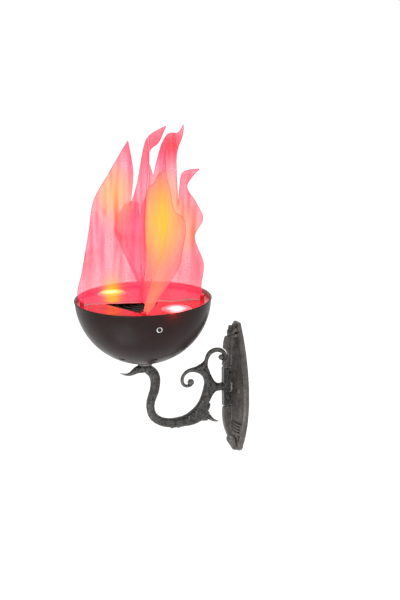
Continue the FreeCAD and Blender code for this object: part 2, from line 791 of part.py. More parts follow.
def make_amber_filter():
    """A loose coloured disc on the rear lamp's bezel."""
    bearing = d.lamp_angle + 180.0
    disc = turned_piece("amber_disc", [
        (0.0, 0.0), (d.lamp_radius + 1.0, 0.0), (d.lamp_radius + 1.0, 0.8), (0.0, 0.8)])
    place(disc, lamp_ring * cosine(bearing), lamp_ring * sine(bearing) - d.reach,
          d.rim_height + film_top + d.bezel_height)
    keep(disc, "amber_filter")


# The corners of the film's triangular mouth, left, front and right, as shares of its radius.
MOUTH_CORNERS = [(-0.10, -0.57), (0.71, -0.23), (0.17, 0.18)]


def make_film():
    """The red film on the deck's lip, open over the two lamps and in a front triangle."""
    film = at_rim(new_body("film_disc"))
    plan = sketch_on(film, "film_plan", "XY_Plane", -d.film_drop)
    circle(plan, deck_radius)
    for side in (0.0, 180.0):
        bearing = d.lamp_angle + side
        circle(plan, lamp_sleeve + d.fit_gap, lamp_ring * cosine(bearing), lamp_ring * sine(bearing))
    pad(film, plan, d.film_thick)
    mouth = sketch_on(film, "film_mouth", "XY_Plane", film_top)
    outline(mouth, [(deck_radius * x, deck_radius * y) for x, y in MOUTH_CORNERS])
    pocket(film, mouth, d.film_thick * 2)
    keep(film, "mouth_film")


# ---------------------------------------------------------------- driver and tray

tray_low = -d.bowl_depth + d.bowl_wall + d.tray_height


def make_tray():
    tray = at_rim(new_body("tray_plate"))
    plan = sketch_on(tray, "tray_plan", "XY_Plane", tray_low)
    rectangle(plan, d.tray_width, d.tray_length)
    circle(plan, d.nipple_radius + d.fit_gap)
    pad(tray, plan, d.tray_thick)
    keep(tray, "driver_tray")
    top = tray_low + d.tray_thick
    middle = (d.nut_across / math.sqrt(3.0) + 2.0 + d.tray_width / 2) / 2
    width = d.tray_width / 2 - d.nut_across / math.sqrt(3.0) - 2.0
    case = at_rim(new_body("driver_shell"))
    foot = sketch_on(case, "driver_plan", "XY_Plane", top)
    rectangle(foot, width, d.driver_length, middle, 0.0)
    pad(case, foot, d.driver_height)
    keep(case, "driver_case")
    block = at_rim(new_body("terminal_bar"))
    plan = sketch_on(block, "terminal_plan", "XY_Plane", top)
    rectangle(plan, 16.0, 44.0, -middle, 0.0)
    pad(block, plan, 6.0)
    raised = sketch_on(block, "terminal_top", "XY_Plane", top + 6.0)
    rectangle(raised, 8.0, 44.0, -middle, 0.0)
    pad(block, raised, 6.0)
    keep(block, "terminal_block")


# ---------------------------------------------------------------- wall plate

def plate_outline(inset, out, lengthen=0.0):
    """The plate's outline, drawn in from its edge by an inset, in the plane this far from the wall."""
    def flank(end_half, end_z, inset_by):
        centre = (end_half ** 2 + (end_z - d.plate_waist) ** 2 - float(d.plate_half) ** 2)
        centre = centre / (2 * (end_half - d.plate_half))
        return float(centre), float(d.plate_half - centre - inset_by)

    def half_at(centre, radius, z):
        return centre + math.sqrt(radius ** 2 - (z - float(d.plate_waist)) ** 2)

    upper, upper_radius = flank(float(d.plate_top_half), float(d.plate_top), inset)
    lower, lower_radius = flank(float(d.plate_tail_half), -float(d.plate_tail), inset)
    top = float(d.plate_top) - inset
    tail = -float(d.plate_tail) + inset * 0.4
    waist = float(d.plate_waist)
    side = float(d.plate_half) - inset
    corners = {
        "top": (half_at(upper, upper_radius, top), top),
        "shoulder": (half_at(upper, upper_radius, (top + waist) / 2), (top + waist) / 2),
        "waist": (side, waist),
        "hip": (half_at(lower, lower_radius, (tail + waist) / 2), (tail + waist) / 2),
        "tail": (half_at(lower, lower_radius, tail), tail),
    }
    bottom = (0.0, -float(d.plate_bottom) + inset)

    def point(pair, mirror=1.0):
        return Vector(mirror * pair[0], -float(out), pair[1])

    edges = [
        Part.LineSegment(point(corners["top"], -1.0), point(corners["top"])),
        Part.Arc(point(corners["top"]), point(corners["shoulder"]), point(corners["waist"])),
        Part.Arc(point(corners["waist"]), point(corners["hip"]), point(corners["tail"])),
        Part.Arc(point(corners["tail"]), point(bottom), point(corners["tail"], -1.0)),
        Part.Arc(point(corners["tail"], -1.0), point(corners["hip"], -1.0), point(corners["waist"], -1.0)),
        Part.Arc(point(corners["waist"], -1.0), point(corners["shoulder"], -1.0), point(corners["top"], -1.0)),
    ]
    return Part.Wire([edge.toShape() for edge in edges])


def ridge_outline(half, top, bottom, out):
    """A long narrow six-sided outline for the crest of the plate's panel."""
    waist = float(d.plate_waist)
    mid_up = (top + waist) / 2
    corners = [(-half * 0.5, top), (half * 0.5, top), (half, waist), (half * 0.7, bottom),
               (-half * 0.7, bottom), (-half, waist)]
    points = [Vector(x, -out, z) for x, z in corners]
    edges = [Part.LineSegment(points[0], points[1]),
             Part.Arc(points[1], Vector(half * 0.85, -out, mid_up), points[2]),
             Part.Arc(points[2], Vector(half * 0.93, -out, (bottom + waist) / 2), points[3]),
             Part.Arc(points[3], Vector(0.0, -out, bottom - half * 0.4), points[4]),
             Part.Arc(points[4], Vector(-half * 0.93, -out, (bottom + waist) / 2), points[5]),
             Part.Arc(points[5], Vector(-half * 0.85, -out, mid_up), points[0])]
    return Part.Wire([edge.toShape() for edge in edges])


def prism(wire, length):
    """A solid from a flat wire, drawn out towards the room."""
    return Part.Face(wire).extrude(Vector(0, -float(length), 0))


def side_slab(points, width, centre=0.0):
    """A solid from an outline in the YZ plane, (out from the wall, height), centred on X."""
    edges = []
    for begin, end in zip(points, points[1:] + points[:1]):
        first = Vector(centre - width / 2, -begin[0], begin[1])
        last = Vector(centre - width / 2, -end[0], end[1])
        if len(begin) > 2:
            through = Vector(centre - width / 2, -begin[2], begin[3])
            edges.append(Part.Arc(first, through, last).toShape())
        else:
            edges.append(Part.LineSegment(first, last).toShape())
    return Part.Face(Part.Wire(edges)).extrude(Vector(width, 0, 0))


screw_seat = d.plate_screw_seat
foot_top = d.foot_middle + d.foot_height / 2
foot_low = d.foot_middle - d.foot_height / 2
border_out = float(d.plate_edge + d.bevel_rise)
channel_out = border_out - float(d.channel_depth)
crest_half = float(d.rib_width) * 0.75
crest_top = float(d.plate_top - d.crest_top_drop)
crest_low = -float(d.plate_bottom) + float(d.crest_low_rise)
panel_inset = float(d.border_width + d.channel_width)


def rib_front_at(z):
    """How far the centre rib stands out from the wall at a height."""
    share = abs(z - float(d.foot_middle)) / float(d.plate_top)
    return float(d.rib_front) - 13.0 * share ** 2.4 - 14.0 * max(0.0, share - 0.72) / 0.25


def make_wall_plate():
    base = prism(plate_outline(0.0, 0.0), d.plate_edge)
    bevel = Part.makeLoft([plate_outline(0.0, d.plate_edge),
                           plate_outline(float(d.bevel_width), border_out)], True, True)
    plate = base.fuse(bevel)
    plate = plate.cut(prism(plate_outline(float(d.border_width), channel_out), 20.0))
    crest = ridge_outline(crest_half, crest_top, crest_low, float(d.ridge_height))
    panel = Part.makeLoft([plate_outline(panel_inset, channel_out - 1.0), crest], True, True)
    plate = plate.fuse(panel)
    wall = float(d.plate_wall)
    hollow_crest = ridge_outline(crest_half, crest_top - 2 * wall, crest_low + 2 * wall,
                                 float(d.ridge_height) - wall)
    behind = 1.0
    hollow = prism(plate_outline(wall * 1.5, -behind), behind + channel_out - wall)
    hollow = hollow.fuse(Part.makeLoft([plate_outline(panel_inset + wall, channel_out - wall - behind / 2),
                                        hollow_crest], True, True))
    plate = plate.cut(hollow)
    gap = float(d.rib_gap)
    width = float(d.rib_width)
    back = float(d.ridge_height) - wall + 1.0
    rib_top = float(d.plate_top - d.palmette_drop) + 3.0
    rib_low = -float(d.plate_bottom) + 5.0
    for near, far in ((float(foot_top) + gap, rib_top), (float(foot_low) - gap, rib_low)):
        middle = (near + far) / 2
        outer = near + (far - near) * 0.8
        rib = side_slab([
            (back, near), (rib_front_at(near), near, rib_front_at(middle), middle),
            (rib_front_at(outer), outer, rib_front_at(far * 0.94) - 1.0, far * 0.94),
            (rib_front_at(far), far), (channel_out - 3.0, far)], width)
        plate = plate.fuse(rib)
    plate = plate.fuse(top_shell()).fuse(bottom_swags())
    room = UPPER_SCROLL_RADIUS + float(d.scroll_gap)
    plate = plate.cut(Part.makeCylinder(room, 60.0, Vector(-30.0, UPPER_SCROLL_MIDDLE[0] - float(d.stem_reach),
                                                         UPPER_SCROLL_MIDDLE[1] + float(d.foot_middle)),
                                        Vector(1, 0, 0)))
    boss_low = float(d.strap_thick)
    for side in (-1.0, 1.0):
        x = side * float(d.plate_screw_offset)
        boss = Part.makeCylinder(d.boss_radius, screw_seat - boss_low, Vector(x, -boss_low, 0),
                                 Vector(0, -1, 0))
        hole = Part.makeCylinder(d.plate_screw_radius + d.screw_gap, 40, Vector(x, 0, 0), Vector(0, -1, 0))
        plate = plate.fuse(boss).cut(hole)
    for z in foot_screw_heights():
        hole = Part.makeCylinder(d.foot_screw_radius + d.screw_gap, 40, Vector(0, 0, z), Vector(0, -1, 0))
        plate = plate.cut(hole)
    made = doc.addObject("Part::Feature", "plate_casting")
    made.Shape = plate.removeSplitter()
    keep(made, "wall_plate")


def foot_screw_heights():
    return [float(d.foot_middle) + side * float(d.foot_screw_offset) for side in (-1.0, 1.0)]


# Each flute of the palmette at the top: how far it leans to the side in degrees, and its length.
PALMETTE = [(-66.0, 24.0), (-36.0, 28.0), (0.0, 30.0), (36.0, 28.0), (66.0, 24.0)]
FLUTE_ROOT, FLUTE_END, PALMETTE_BACK = 2.4, 4.2, 10.5
# The hanging folds at the bottom: how many pairs, how high the first hangs above the plate's end,
# how far apart they are, how far out the first bead stands and how much nearer each next one is.
SWAG_PAIRS = 4
SWAG_FIRST, SWAG_PITCH = 83.0, 7.7
BEAD_OUT, BEAD_STEP = 35.0, 2.0
FOLD_RADIUS, BEAD_RADIUS = 2.7, 3.5
TONGUE_WIDE, TONGUE_NARROW = 14.0, 9.0


def top_shell():
    """A palmette of rounded flutes that fans out from the rib's end to the plate's top edge."""
    heart = Vector(0, -float(d.palmette_out), float(d.plate_top - d.palmette_drop))
    flutes = []
    for lean, length in PALMETTE:
        tilt = math.radians(lean)
        way = Vector(math.sin(tilt), 0.45, 0.9 * math.cos(tilt)).normalize()
        flute = Part.makeCone(FLUTE_ROOT, FLUTE_END, length, heart, way)
        flutes.append(flute.fuse(Part.makeSphere(FLUTE_END, heart + way * length)))
    back = heart + Vector(0, float(d.palmette_out) - PALMETTE_BACK, 1.7 * PALMETTE_BACK)
    return Part.makeSphere(PALMETTE_BACK, back).multiFuse(flutes)


def bottom_swags():
    """Pairs of folds that hang from the rib to beads by the border, over a smooth tongue."""
    pieces = []
    bottom = -float(d.plate_bottom)
    ridge = float(d.ridge_height)
    for step in range(SWAG_PAIRS):
        z = bottom + SWAG_FIRST - SWAG_PITCH * step
        far = BEAD_OUT - BEAD_STEP * step
        for side in (-1.0, 1.0):
            near = Vector(side * FOLD_RADIUS, -ridge - 1.0, z)
            end = Vector(side * far, -channel_out - 1.6, z - SWAG_PITCH)
            belly = (near + end) / 2 + Vector(0, -2.4, -2.2)
            fold = Part.Arc(near, belly, end).toShape()
            ring = Part.Circle(near, fold.tangentAt(fold.FirstParameter), FOLD_RADIUS)
            pieces.append(Part.Wire([fold]).makePipe(Part.Face(Part.Wire([ring.toShape()]))))
            pieces.append(Part.makeSphere(BEAD_RADIUS, end))
    begin = Vector(0, 2.0 - ridge, bottom + 2.3 * TONGUE_WIDE)
    tip = Vector(0, -TONGUE_NARROW - 3.0, bottom + 1.2 * TONGUE_NARROW)
    way = tip - begin
    pieces.append(Part.makeCone(TONGUE_WIDE, TONGUE_NARROW, way.Length, begin, way))
    pieces.append(Part.makeSphere(TONGUE_WIDE, begin))
    pieces.append(Part.makeSphere(TONGUE_NARROW, tip))
    return pieces[0].multiFuse(pieces[1:])


def make_strap():
    """The flat cross-shaped steel strap behind the plate."""
    strap = new_body("wall_strap")
    plan = sketch_on(strap, "strap_plan", "XZ_Plane")
    w, tall, ear = d.strap_width / 2, d.strap_length / 2, d.strap_ears / 2
    arm = 9.0
    outline(plan, [(-w, -tall), (w, -tall), (w, -arm), (ear, -arm), (ear, arm), (w, arm), (w, tall),
                   (-w, tall), (-w, arm), (-ear, arm), (-ear, -arm), (-w, -arm)])
    circle(plan, d.wire_hole_radius)
    for side in (-1.0, 1.0):
        circle(plan, d.wall_screw_radius, 0.0, side * d.wall_screw_spacing / 2)
        circle(plan, d.plate_screw_radius, side * d.plate_screw_offset, 0.0)
    pad(strap, plan, d.strap_thick)
    keep(strap, "mounting_plate")


def machine_screw(name, radius, head_radius, head_height, length):
    """A round-headed screw along its own +Z, head at the origin, shank going down."""
    return turned_piece(name, [
        (0.0, -length), (radius, -length), (radius, 0.0),
        *head_above(head_radius, head_height * 0.45, head_height)])


def make_plate_fixings():
    to_room = Rotation(Vector(1, 0, 0), 90.0)
    to_wall = Rotation(Vector(1, 0, 0), -90.0)
    pair = []
    for side in (-1.0, 1.0):
        screw = machine_screw("plate_screw", d.plate_screw_radius, d.plate_screw_radius * 2, 2.6,
                              screw_seat - d.strap_thick + 2.0)
        pair.append(place(screw, side * d.plate_screw_offset, -screw_seat, 0.0, to_room))
    screws = doc.addObject("Part::Compound", "plate_screw_pair")
    screws.Links = pair
    keep(screws, "plate_screws")
    inner_face = d.ridge_height - d.plate_wall
    screws, washers = [], []
    for side in (-1.0, 1.0):
        z = d.foot_middle + side * d.foot_screw_offset
        ring = turned_piece("foot_washer", [
            (d.foot_screw_radius + d.screw_gap, 0.0), (d.foot_screw_radius * 2.2, 0.0),
            (d.foot_screw_radius * 2.2, 1.0), (d.foot_screw_radius + d.screw_gap, 1.0)])
        washers.append(place(ring, 0.0, 1.0 - inner_face, z, to_room))
        screw = machine_screw("foot_screw", d.foot_screw_radius, d.foot_screw_radius * 1.8, 3.0,
                              d.plate_wall + d.foot_screw_reach)
        screws.append(place(screw, 0.0, 1.0 - inner_face, z, to_wall))
    for node, group in (("foot_screws", screws), ("foot_washers", washers)):
        both = doc.addObject("Part::Compound", f"{node}_pair")
        both.Links = group
        keep(both, node)


# ---------------------------------------------------------------- cast arm

def tapered_bar(points, rings, aside=0.0):
    """A round bar through (y, z, thickness) points, as thick at each point as it says."""
    spots = [Vector(aside, y, z) for y, z, thick in points]
    curve = Part.BSplineCurve()
    curve.interpolate(spots)
    first, last = curve.FirstParameter, curve.LastParameter
    total = curve.length(first, last)
    shares = [0.0] + [curve.length(first, curve.parameter(spot)) / total for spot in spots[1:]]
    thick_at = blend(*((share, thick) for share, (y, z, thick) in zip(shares, points)))
    wires = []
    for step in range(rings):
        share = step / (rings - 1)
        at = curve.parameterAtDistance(total * share, first)
        ring = Part.Circle(curve.value(at), curve.tangent(at)[0].normalize(), thick_at(share) / 2)
        wires.append(Part.Wire([ring.toShape()]))
    return Part.makeLoft(wires, True, False)


def blend(*pairs):
    """A function of a share 0 to 1 that runs straight between (share, value) pairs."""
    def at(share):
        for (a, low), (b, high) in zip(pairs, pairs[1:]):
            if share <= b:
                return float(low) + (float(high) - float(low)) * (share - a) / (b - a)
        return float(pairs[-1][1])
    return at


# Points of the casting's bars: (towards the wall, upwards, thickness). The neck, the hook and the
# sweep are counted from the bowl's axis and the sweep's height, all else from the stem.
HOOK = [(1.5, 146, 20), (8, 138, 22), (18, 127, 24), (22.5, 114, 23), (22.3, 100, 21.5), (19, 84, 21),
        (13, 69, 20), (9.2, 52.5, 19), (10, 40, 18.6), (14.5, 26.5, 19), (25, 15, 19.5), (39, 6.7, 20.2),
        (57, 1.7, 21.5), (78, 0, 24), (97, 2.5, 25), (113, 9.5, 26.5), (127, 20, 26), (137.5, 34, 24),
        (144, 51, 21)]
HOOK_SPAN, HOOK_DROP = 150.0, 148.0
# counted from the stem and the middle of the foot
STEM = [(-25, -52.5, 22), (-13, -37.5, 23), (-6, -19.5, 21), (-2, -2.5, 18), (0.5, 13.5, 16.5),
        (1.2, 26.5, 15.5), (0.5, 37.5, 12.5), (-2, 47.5, 10), (-3.6, 57.5, 9), (-2.2, 68.5, 8.7),
        (1.4, 78.5, 9.4), (7.5, 86.3, 10.2), (16, 90.5, 10.4), (25, 91.1, 10), (33.5, 88.8, 10),
        (40.5, 83.5, 9.3), (44.4, 75.8, 8), (42.4, 68.3, 7), (36.5, 65.1, 6)]
UPPER_EYE = (35.0, 71.7, 6.3)
UPPER_SCROLL_MIDDLE = (33.0, 76.5)
UPPER_SCROLL_RADIUS = 16.0
LOWER_SCROLL = [(-1, 11.5, 13), (-1.5, 26, 16), (-6.5, 38, 17), (-16.5, 46, 15), (-29, 50.3, 11.5),
                (-41, 51.1, 9), (-52, 47.5, 7.8), (-59.6, 40, 7.4), (-62.6, 30, 7.8), (-60.5, 20.5, 7.4),
                (-54, 14.9, 7), (-46, 13.9, 6.4), (-39.5, 15.5, 6)]
LOWER_EYE = (-41.3, 22.0, 7.5)
SHOULDER = [(-39, 52.1, 7), (-27, 52.3, 11), (-17, 53.5, 16), (-8.5, 58, 15), (-3.5, 67.5, 10)]
# counted from the stem and the strut's height
STRUT_UP = [(30, 1, 14), (20, 4, 15), (11, 11, 17), (5.5, 22, 15), (1.5, 34, 12)]
STRUT_DOWN = [(30, -1, 14), (20, -1.5, 15), (11, -6, 17), (4, -16, 15), (-1, -30, 12)]
# counted from the bowl's axis and the underside of the seat
LONG_LEAF = [(4, -10, 15), (-10, -6, 19), (-22, -8, 15.5), (-31, -12.7, 11), (-39, -15, 7.2),
             (-49, -13.5, 4.5), (-59.5, -9, 2.2)]
# counted from the stem and the sweep's height: the flutes of the corner leaf, its tail and its frill
CORNER_FLUTES = [
    [(-54, 1, 5), (-37, 6.5, 9), (-21, 16, 12), (-9.5, 30, 12), (-3, 45, 10), (-0.5, 58, 6)],
    [(-60, -3, 5), (-42, -0.5, 9), (-26, 6.5, 12), (-14, 16.5, 12.5), (-4.5, 25.5, 11), (-0.5, 37, 6)],
    [(-64, -7, 4.5), (-46, -5.5, 8.5), (-30, -1, 11), (-17, 5, 12), (-8, 9.5, 11.5), (-2, 17, 7)],
]
CORNER_TAIL = [(-24, 4, 10), (-13, 6, 13), (-4, 5.5, 14), (3, 0, 11.5), (10, -6.5, 8), (18, -11.3, 5),
               (27, -13.8, 2.2)]
FRILL = [(-20.0, 0.5, 4.6), (-13.0, -0.8, 4.4), (-6.0, -1.8, 4.2)]
NUBS = [(-91.0, -8.5, 3.2), (-75.0, -9.8, 3.2)]


def moved(points, y, z, wide=1.0, tall=1.0):
    """Bar points shifted to where they are counted from, and stretched."""
    return [(y + out * wide, z + up * tall, thick) for out, up, thick in points]


def ball(y, z, radius, aside=0.0):
    return Part.makeSphere(radius, Vector(aside, y, z))


def make_arm():
    reach, stem = float(d.reach), float(d.stem_reach)
    seat_top = float(d.rim_height - d.bowl_depth - d.gasket_thick)
    seat_low = seat_top - float(d.seat_height)
    low = -float(d.arm_depth)
    middle = float(d.foot_middle)
    strut_z = float(d.strut_height)
    bars = [tapered_bar(moved(HOOK, -reach, low, (reach - stem) / HOOK_SPAN, (seat_low - low) / HOOK_DROP), 30)]
    bars.append(tapered_bar(moved(STEM, -stem, middle), 32))
    bars.append(tapered_bar(moved(LOWER_SCROLL, -stem, middle), 20))
    bars.append(tapered_bar(moved(SHOULDER, -stem, middle), 8))
    for eye in (UPPER_EYE, LOWER_EYE):
        bars.append(ball(eye[0] - stem, eye[1] + middle, eye[2]))
    for fillet in (STRUT_UP, STRUT_DOWN):
        bars.append(tapered_bar(moved(fillet, -stem, strut_z), 9))
    bars.append(tapered_bar(moved(LONG_LEAF, -reach, seat_low), 10))
    bars.append(tapered_bar(moved(CORNER_TAIL, -stem, low), 11))
    spread = float(d.flute_spread)
    for aside in (-spread, spread):
        for flute in CORNER_FLUTES:
            bars.append(tapered_bar(moved(flute, -stem, low), 9, aside))
        for y, z, radius in moved(FRILL, -stem, low):
            bars.append(ball(y, z, radius, aside * 0.8))
        for y, z, radius in moved(NUBS, -stem, low):
            bars.append(ball(y, z, radius, aside * 0.5))
    # seat, strut, collar and foot
    edge = float(d.seat_edge)
    seat = Part.makeCone(d.seat_radius * 0.6, d.seat_radius, seat_top - seat_low - edge,
                         Vector(0, -reach, seat_low))
    rim = Part.makeCylinder(d.seat_radius, edge, Vector(0, -reach, seat_top - edge))
    bars += [seat, rim]
    ridge = float(d.ridge_height)
    strut = Part.makeCylinder(d.strut_radius, stem - ridge - 2.0, Vector(0, -stem, strut_z), Vector(0, 1, 0))
    top, bottom = float(foot_top), float(foot_low)
    foot = side_slab([(ridge, bottom), (rib_front_at(bottom), bottom, rib_front_at(middle), middle),
                      (rib_front_at(top), top), (ridge, top)], float(d.rib_width))
    collar = Part.makeCylinder(d.collar_radius, d.collar_thick,
                               Vector(0, -ridge - float(d.collar_thick), strut_z), Vector(0, 1, 0))
    bars += [strut, foot, collar]
    arm = bars[0]
    for bar in bars[1:]:
        arm = arm.fuse(bar)
    bore = Part.makeCylinder(d.nipple_radius, d.nipple_engaged + 0.5,
                             Vector(0, -reach, seat_top - float(d.nipple_engaged) - 0.5))
    arm = arm.cut(bore)
    for z in foot_screw_heights():
        arm = arm.cut(Part.makeCylinder(d.foot_screw_radius, d.foot_screw_reach + 0.5,
                                        Vector(0, -ridge + 0.01, z), Vector(0, -1, 0)))
    made = doc.addObject("Part::Feature", "arm_casting")
    made.Shape = arm
    keep(made, "arm")


# ---------------------------------------------------------------- silk flames

# Each flame edge runs from corner to corner; a list between two corners is one smooth edge.
# The pairs are (along the sheet, above the rim), for a bowl of SILK_BOWL radius.
SILK_BOWL = 150.0
MAIN_EDGES = [
    [(-134, -6), (-142, 20), (-130, 69), (-112, 150), (-99, 215), (-70, 269), (-21, 343)],
    [(-21, 343), (-13, 277), (-21, 203)],
    [(-21, 203), (-5, 256), (10, 325), (24, 352), (60, 372)],
    [(60, 372), (44, 338), (26, 322), (23, 295), (31, 265)],
    [(31, 265), (40, 305), (52, 340), (66, 357), (85, 357), (98, 373)],
    [(98, 373), (95, 350), (82, 318), (79, 280), (82, 201)],
    [(82, 201), (86, 240), (94, 272), (128, 281)],
    [(128, 281), (103, 243), (120, 208), (134, 172), (116, 132), (133, 75), (128, 28), (130, -6)],
    [(130, -6), (-134, -6)],
]
CROSS_EDGES = [
    [(-126, -6), (-131, 25), (-116, 70), (-84, 130), (-64, 210), (-40, 280), (-22, 332)],
    [(-22, 332), (-8, 270), (4, 215), (14, 176)],
    [(14, 176), (30, 194), (56, 206)],
    [(56, 206), (78, 150), (108, 70), (132, 26), (130, -6)],
    [(130, -6), (-126, -6)],
]
MAIN_BEARING = 74.7
CROSS_BEARING = 161.5
SILK_MIDDLE = (5.0, -1.5)
# Levels are (height, sideways shift, fold depth, turn from the sheet's bearing in degrees).
MAIN_LEVELS = [(-12, 0, 3.0, 0), (60, -6, 8.0, 0), (180, 4, 11.0, 0), (300, -5, 8.0, 0), (380, 4, 5.0, 0)]
CROSS_LEVELS = [(-12, 0, 3.0, 0), (40, -3, 6.0, 12), (85, -8, 9.0, 26), (115, -11, 10.0, 34),
                (150, -14, 11.0, 40), (220, -18, 10.0, 42), (320, -22, 7.0, 40), (380, -22, 5.0, 40)]
MAIN_FOLDS = 9
CROSS_FOLDS = 7


def bearing_line(degrees):
    """The level unit vector along a bearing, and the one square to it."""
    along = Vector(math.cos(math.radians(degrees)), math.sin(math.radians(degrees)), 0)
    return along, Vector(-along.y, along.x, 0)


def silk_middle():
    return Vector(SILK_MIDDLE[0], SILK_MIDDLE[1] - float(d.reach), float(d.rim_height))


def silk_sheet(edges, bearing, levels, folds, thick):
    """A folded and turned sheet cut to a flame's outline."""
    scale = float(d.bowl_radius) / SILK_BOWL
    along, aside = bearing_line(bearing)
    middle = silk_middle()
    half = SILK_BOWL * scale
    pitch = 2 * half / folds

    def wave_line(z, shift, depth, turn, offset):
        """Arc by arc across the sheet, each fold the other way from the one before."""
        here, square = bearing_line(bearing + turn)
        knots = [middle + here * (-half + pitch * fold) + square * (shift + offset) + Vector(0, 0, z)
                 for fold in range(folds + 1)]
        crests = [(a + b) / 2 + square * (depth if fold % 2 else -depth)
                  for fold, (a, b) in enumerate(zip(knots, knots[1:]))]
        return knots, crests

    rings = []
    for level in levels:
        near, near_crests = wave_line(*level, thick / 2)
        far, far_crests = wave_line(*level, -thick / 2)
        edges_here = [Part.Arc(a, top, b).toShape() for a, top, b in zip(near, near_crests, near[1:])]
        edges_here.append(Part.LineSegment(near[-1], far[-1]).toShape())
        back = list(zip(far, far_crests, far[1:]))[::-1]
        edges_here += [Part.Arc(b, top, a).toShape() for a, top, b in back]
        edges_here.append(Part.LineSegment(far[0], near[0]).toShape())
        rings.append(Part.Wire(edges_here))
    folded = Part.makeLoft(rings, True, True)
    cut = []
    for run in edges:
        points = [middle + along * (u * scale) + Vector(0, 0, z) - aside * SILK_BOWL for u, z in run]
        if len(points) == 2:
            cut.append(Part.LineSegment(*points).toShape())
        else:
            curve = Part.BSplineCurve()
            curve.interpolate(points)
            cut.append(curve.toShape())
    flame = Part.Face(Part.Wire(cut)).extrude(aside * (2 * SILK_BOWL))
    return folded.common(flame)


def make_silk():
    """The two sheets, each slit where the other one passes through, and the clips at their corners."""
    thick = float(d.silk_thick)
    room = thick + 2 * float(d.silk_gap)
    main_form = (MAIN_EDGES, MAIN_BEARING, MAIN_LEVELS, MAIN_FOLDS)
    cross_form = (CROSS_EDGES, CROSS_BEARING, CROSS_LEVELS, CROSS_FOLDS)
    main_wide = silk_sheet(*main_form, room)
    cross_wide = silk_sheet(*cross_form, room)
    level = float(d.rim_height + d.silk_slit)
    span = 4 * SILK_BOWL
    corner = Vector(-span / 2, -span / 2 - float(d.reach), level)
    low_half = Part.makeBox(span, span, span, corner - Vector(0, 0, span))
    high_half = Part.makeBox(span, span, span, corner)
    cross = silk_sheet(*cross_form, thick).cut(main_wide.common(low_half))
    main = silk_sheet(*main_form, thick).cut(cross_wide.common(high_half))
    clips = []
    scale = float(d.bowl_radius) / SILK_BOWL
    for edges, bearing in ((MAIN_EDGES, MAIN_BEARING), (CROSS_EDGES, CROSS_BEARING)):
        along, aside = bearing_line(bearing)
        for corner_out in edges[-1]:
            out = corner_out[0] * scale
            at = silk_middle() + along * out + Vector(0, 0, float(film_top))
            clip = Part.makeBox(d.clip_length, d.clip_width, d.clip_height,
                                Vector(-float(d.clip_length) / 2, -float(d.clip_width) / 2, 0))
            clip.Placement = Placement(at, Rotation(Vector(0, 0, 1), bearing))
            clips.append(clip)
    clips = Part.makeCompound(clips).cut(main_wide).cut(cross_wide)
    for node, shape in (("silk_main", main), ("silk_cross", cross), ("silk_clips", clips)):
        made = doc.addObject("Part::Feature", node)
        made.Shape = shape
        keep(made, node)


make_bowl()
make_gland()
make_clamp()
make_deck()
make_brackets()
make_bowl_screws()
make_fan_frame()
make_fan_rotor()
make_fan_guard()
make_fan_screws()
make_lamp("front_lamp", 0.0)
make_lamp("rear_lamp", 180.0)
make_amber_filter()
make_film()
make_tray()
make_wall_plate()
make_strap()
make_plate_fixings()
make_arm()
make_silk()

doc.recompute()
failed = [one.Name for one in doc.Objects if "Invalid" in one.State or "Error" in one.State]
failed += [one.Label for one in NODES if one.Shape.isNull() or not one.Shape.isValid()]
if failed:
    raise RuntimeError(f"not built: {failed}")
os.makedirs("parts", exist_ok=True)
for node in NODES:
    node.Shape.exportStep(f"parts/{node.Label}.step")
    print(f"{node.Label}: {len(node.Shape.Solids)} solid(s), {node.Shape.Volume / 1000:.1f} cm3")
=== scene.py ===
"""Torch sconce: finishes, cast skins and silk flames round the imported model.

Metres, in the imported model's frame: +Z is up, +Y goes into the wall and the light stands
out towards -Y.
"""
import logging
import math
from dataclasses import dataclass
from enum import Enum
from typing import NamedTuple

import bmesh
import bpy
from mathutils import Matrix, Vector, noise
from mathutils.geometry import delaunay_2d_cdt


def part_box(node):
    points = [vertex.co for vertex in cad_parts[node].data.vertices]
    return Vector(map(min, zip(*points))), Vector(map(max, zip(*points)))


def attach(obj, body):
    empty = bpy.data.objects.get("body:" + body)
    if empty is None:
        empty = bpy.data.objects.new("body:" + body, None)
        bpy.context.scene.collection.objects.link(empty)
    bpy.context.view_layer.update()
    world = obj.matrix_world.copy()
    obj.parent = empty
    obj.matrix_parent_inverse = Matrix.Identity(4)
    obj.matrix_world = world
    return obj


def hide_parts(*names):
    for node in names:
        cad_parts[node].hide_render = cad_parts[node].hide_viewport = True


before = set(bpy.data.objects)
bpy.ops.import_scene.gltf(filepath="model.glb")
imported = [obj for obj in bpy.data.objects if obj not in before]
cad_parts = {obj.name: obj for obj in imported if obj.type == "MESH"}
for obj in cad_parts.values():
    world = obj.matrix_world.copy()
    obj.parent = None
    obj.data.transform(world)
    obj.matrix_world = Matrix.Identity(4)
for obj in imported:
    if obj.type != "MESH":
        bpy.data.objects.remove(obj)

MM = 0.001
IMAGE_WIDTH = 400
IMAGE_HEIGHT = 600
ROOT_BODY = "sconce"
Tree = bpy.types.NodeTree
Node = bpy.types.Node
Socket = bpy.types.NodeSocket
Look = dict[str, object]
# The radians that a wave texture runs through in one unit, and rings round an upright axis.
WAVE_RADIANS = 20.0
RINGS_UP = {"wave_type": "RINGS", "rings_direction": "Z"}
log = logging.getLogger("torch_sconce")


# ---- nodes and colours

def linear(colour: str) -> tuple[float, float, float, float]:
    """Turn an sRGB hex colour to linear light.

    Args:
        colour: The colour as "#rrggbb".

    Returns:
        Red, green, blue and an alpha of 1, as sockets take them.
    """
    parts = [int(colour[place:place + 2], 16) / 255 for place in (1, 3, 5)]
    return (*[c / 12.92 if c <= 0.04045 else ((c + 0.055) / 1.055) ** 2.4 for c in parts], 1.0)


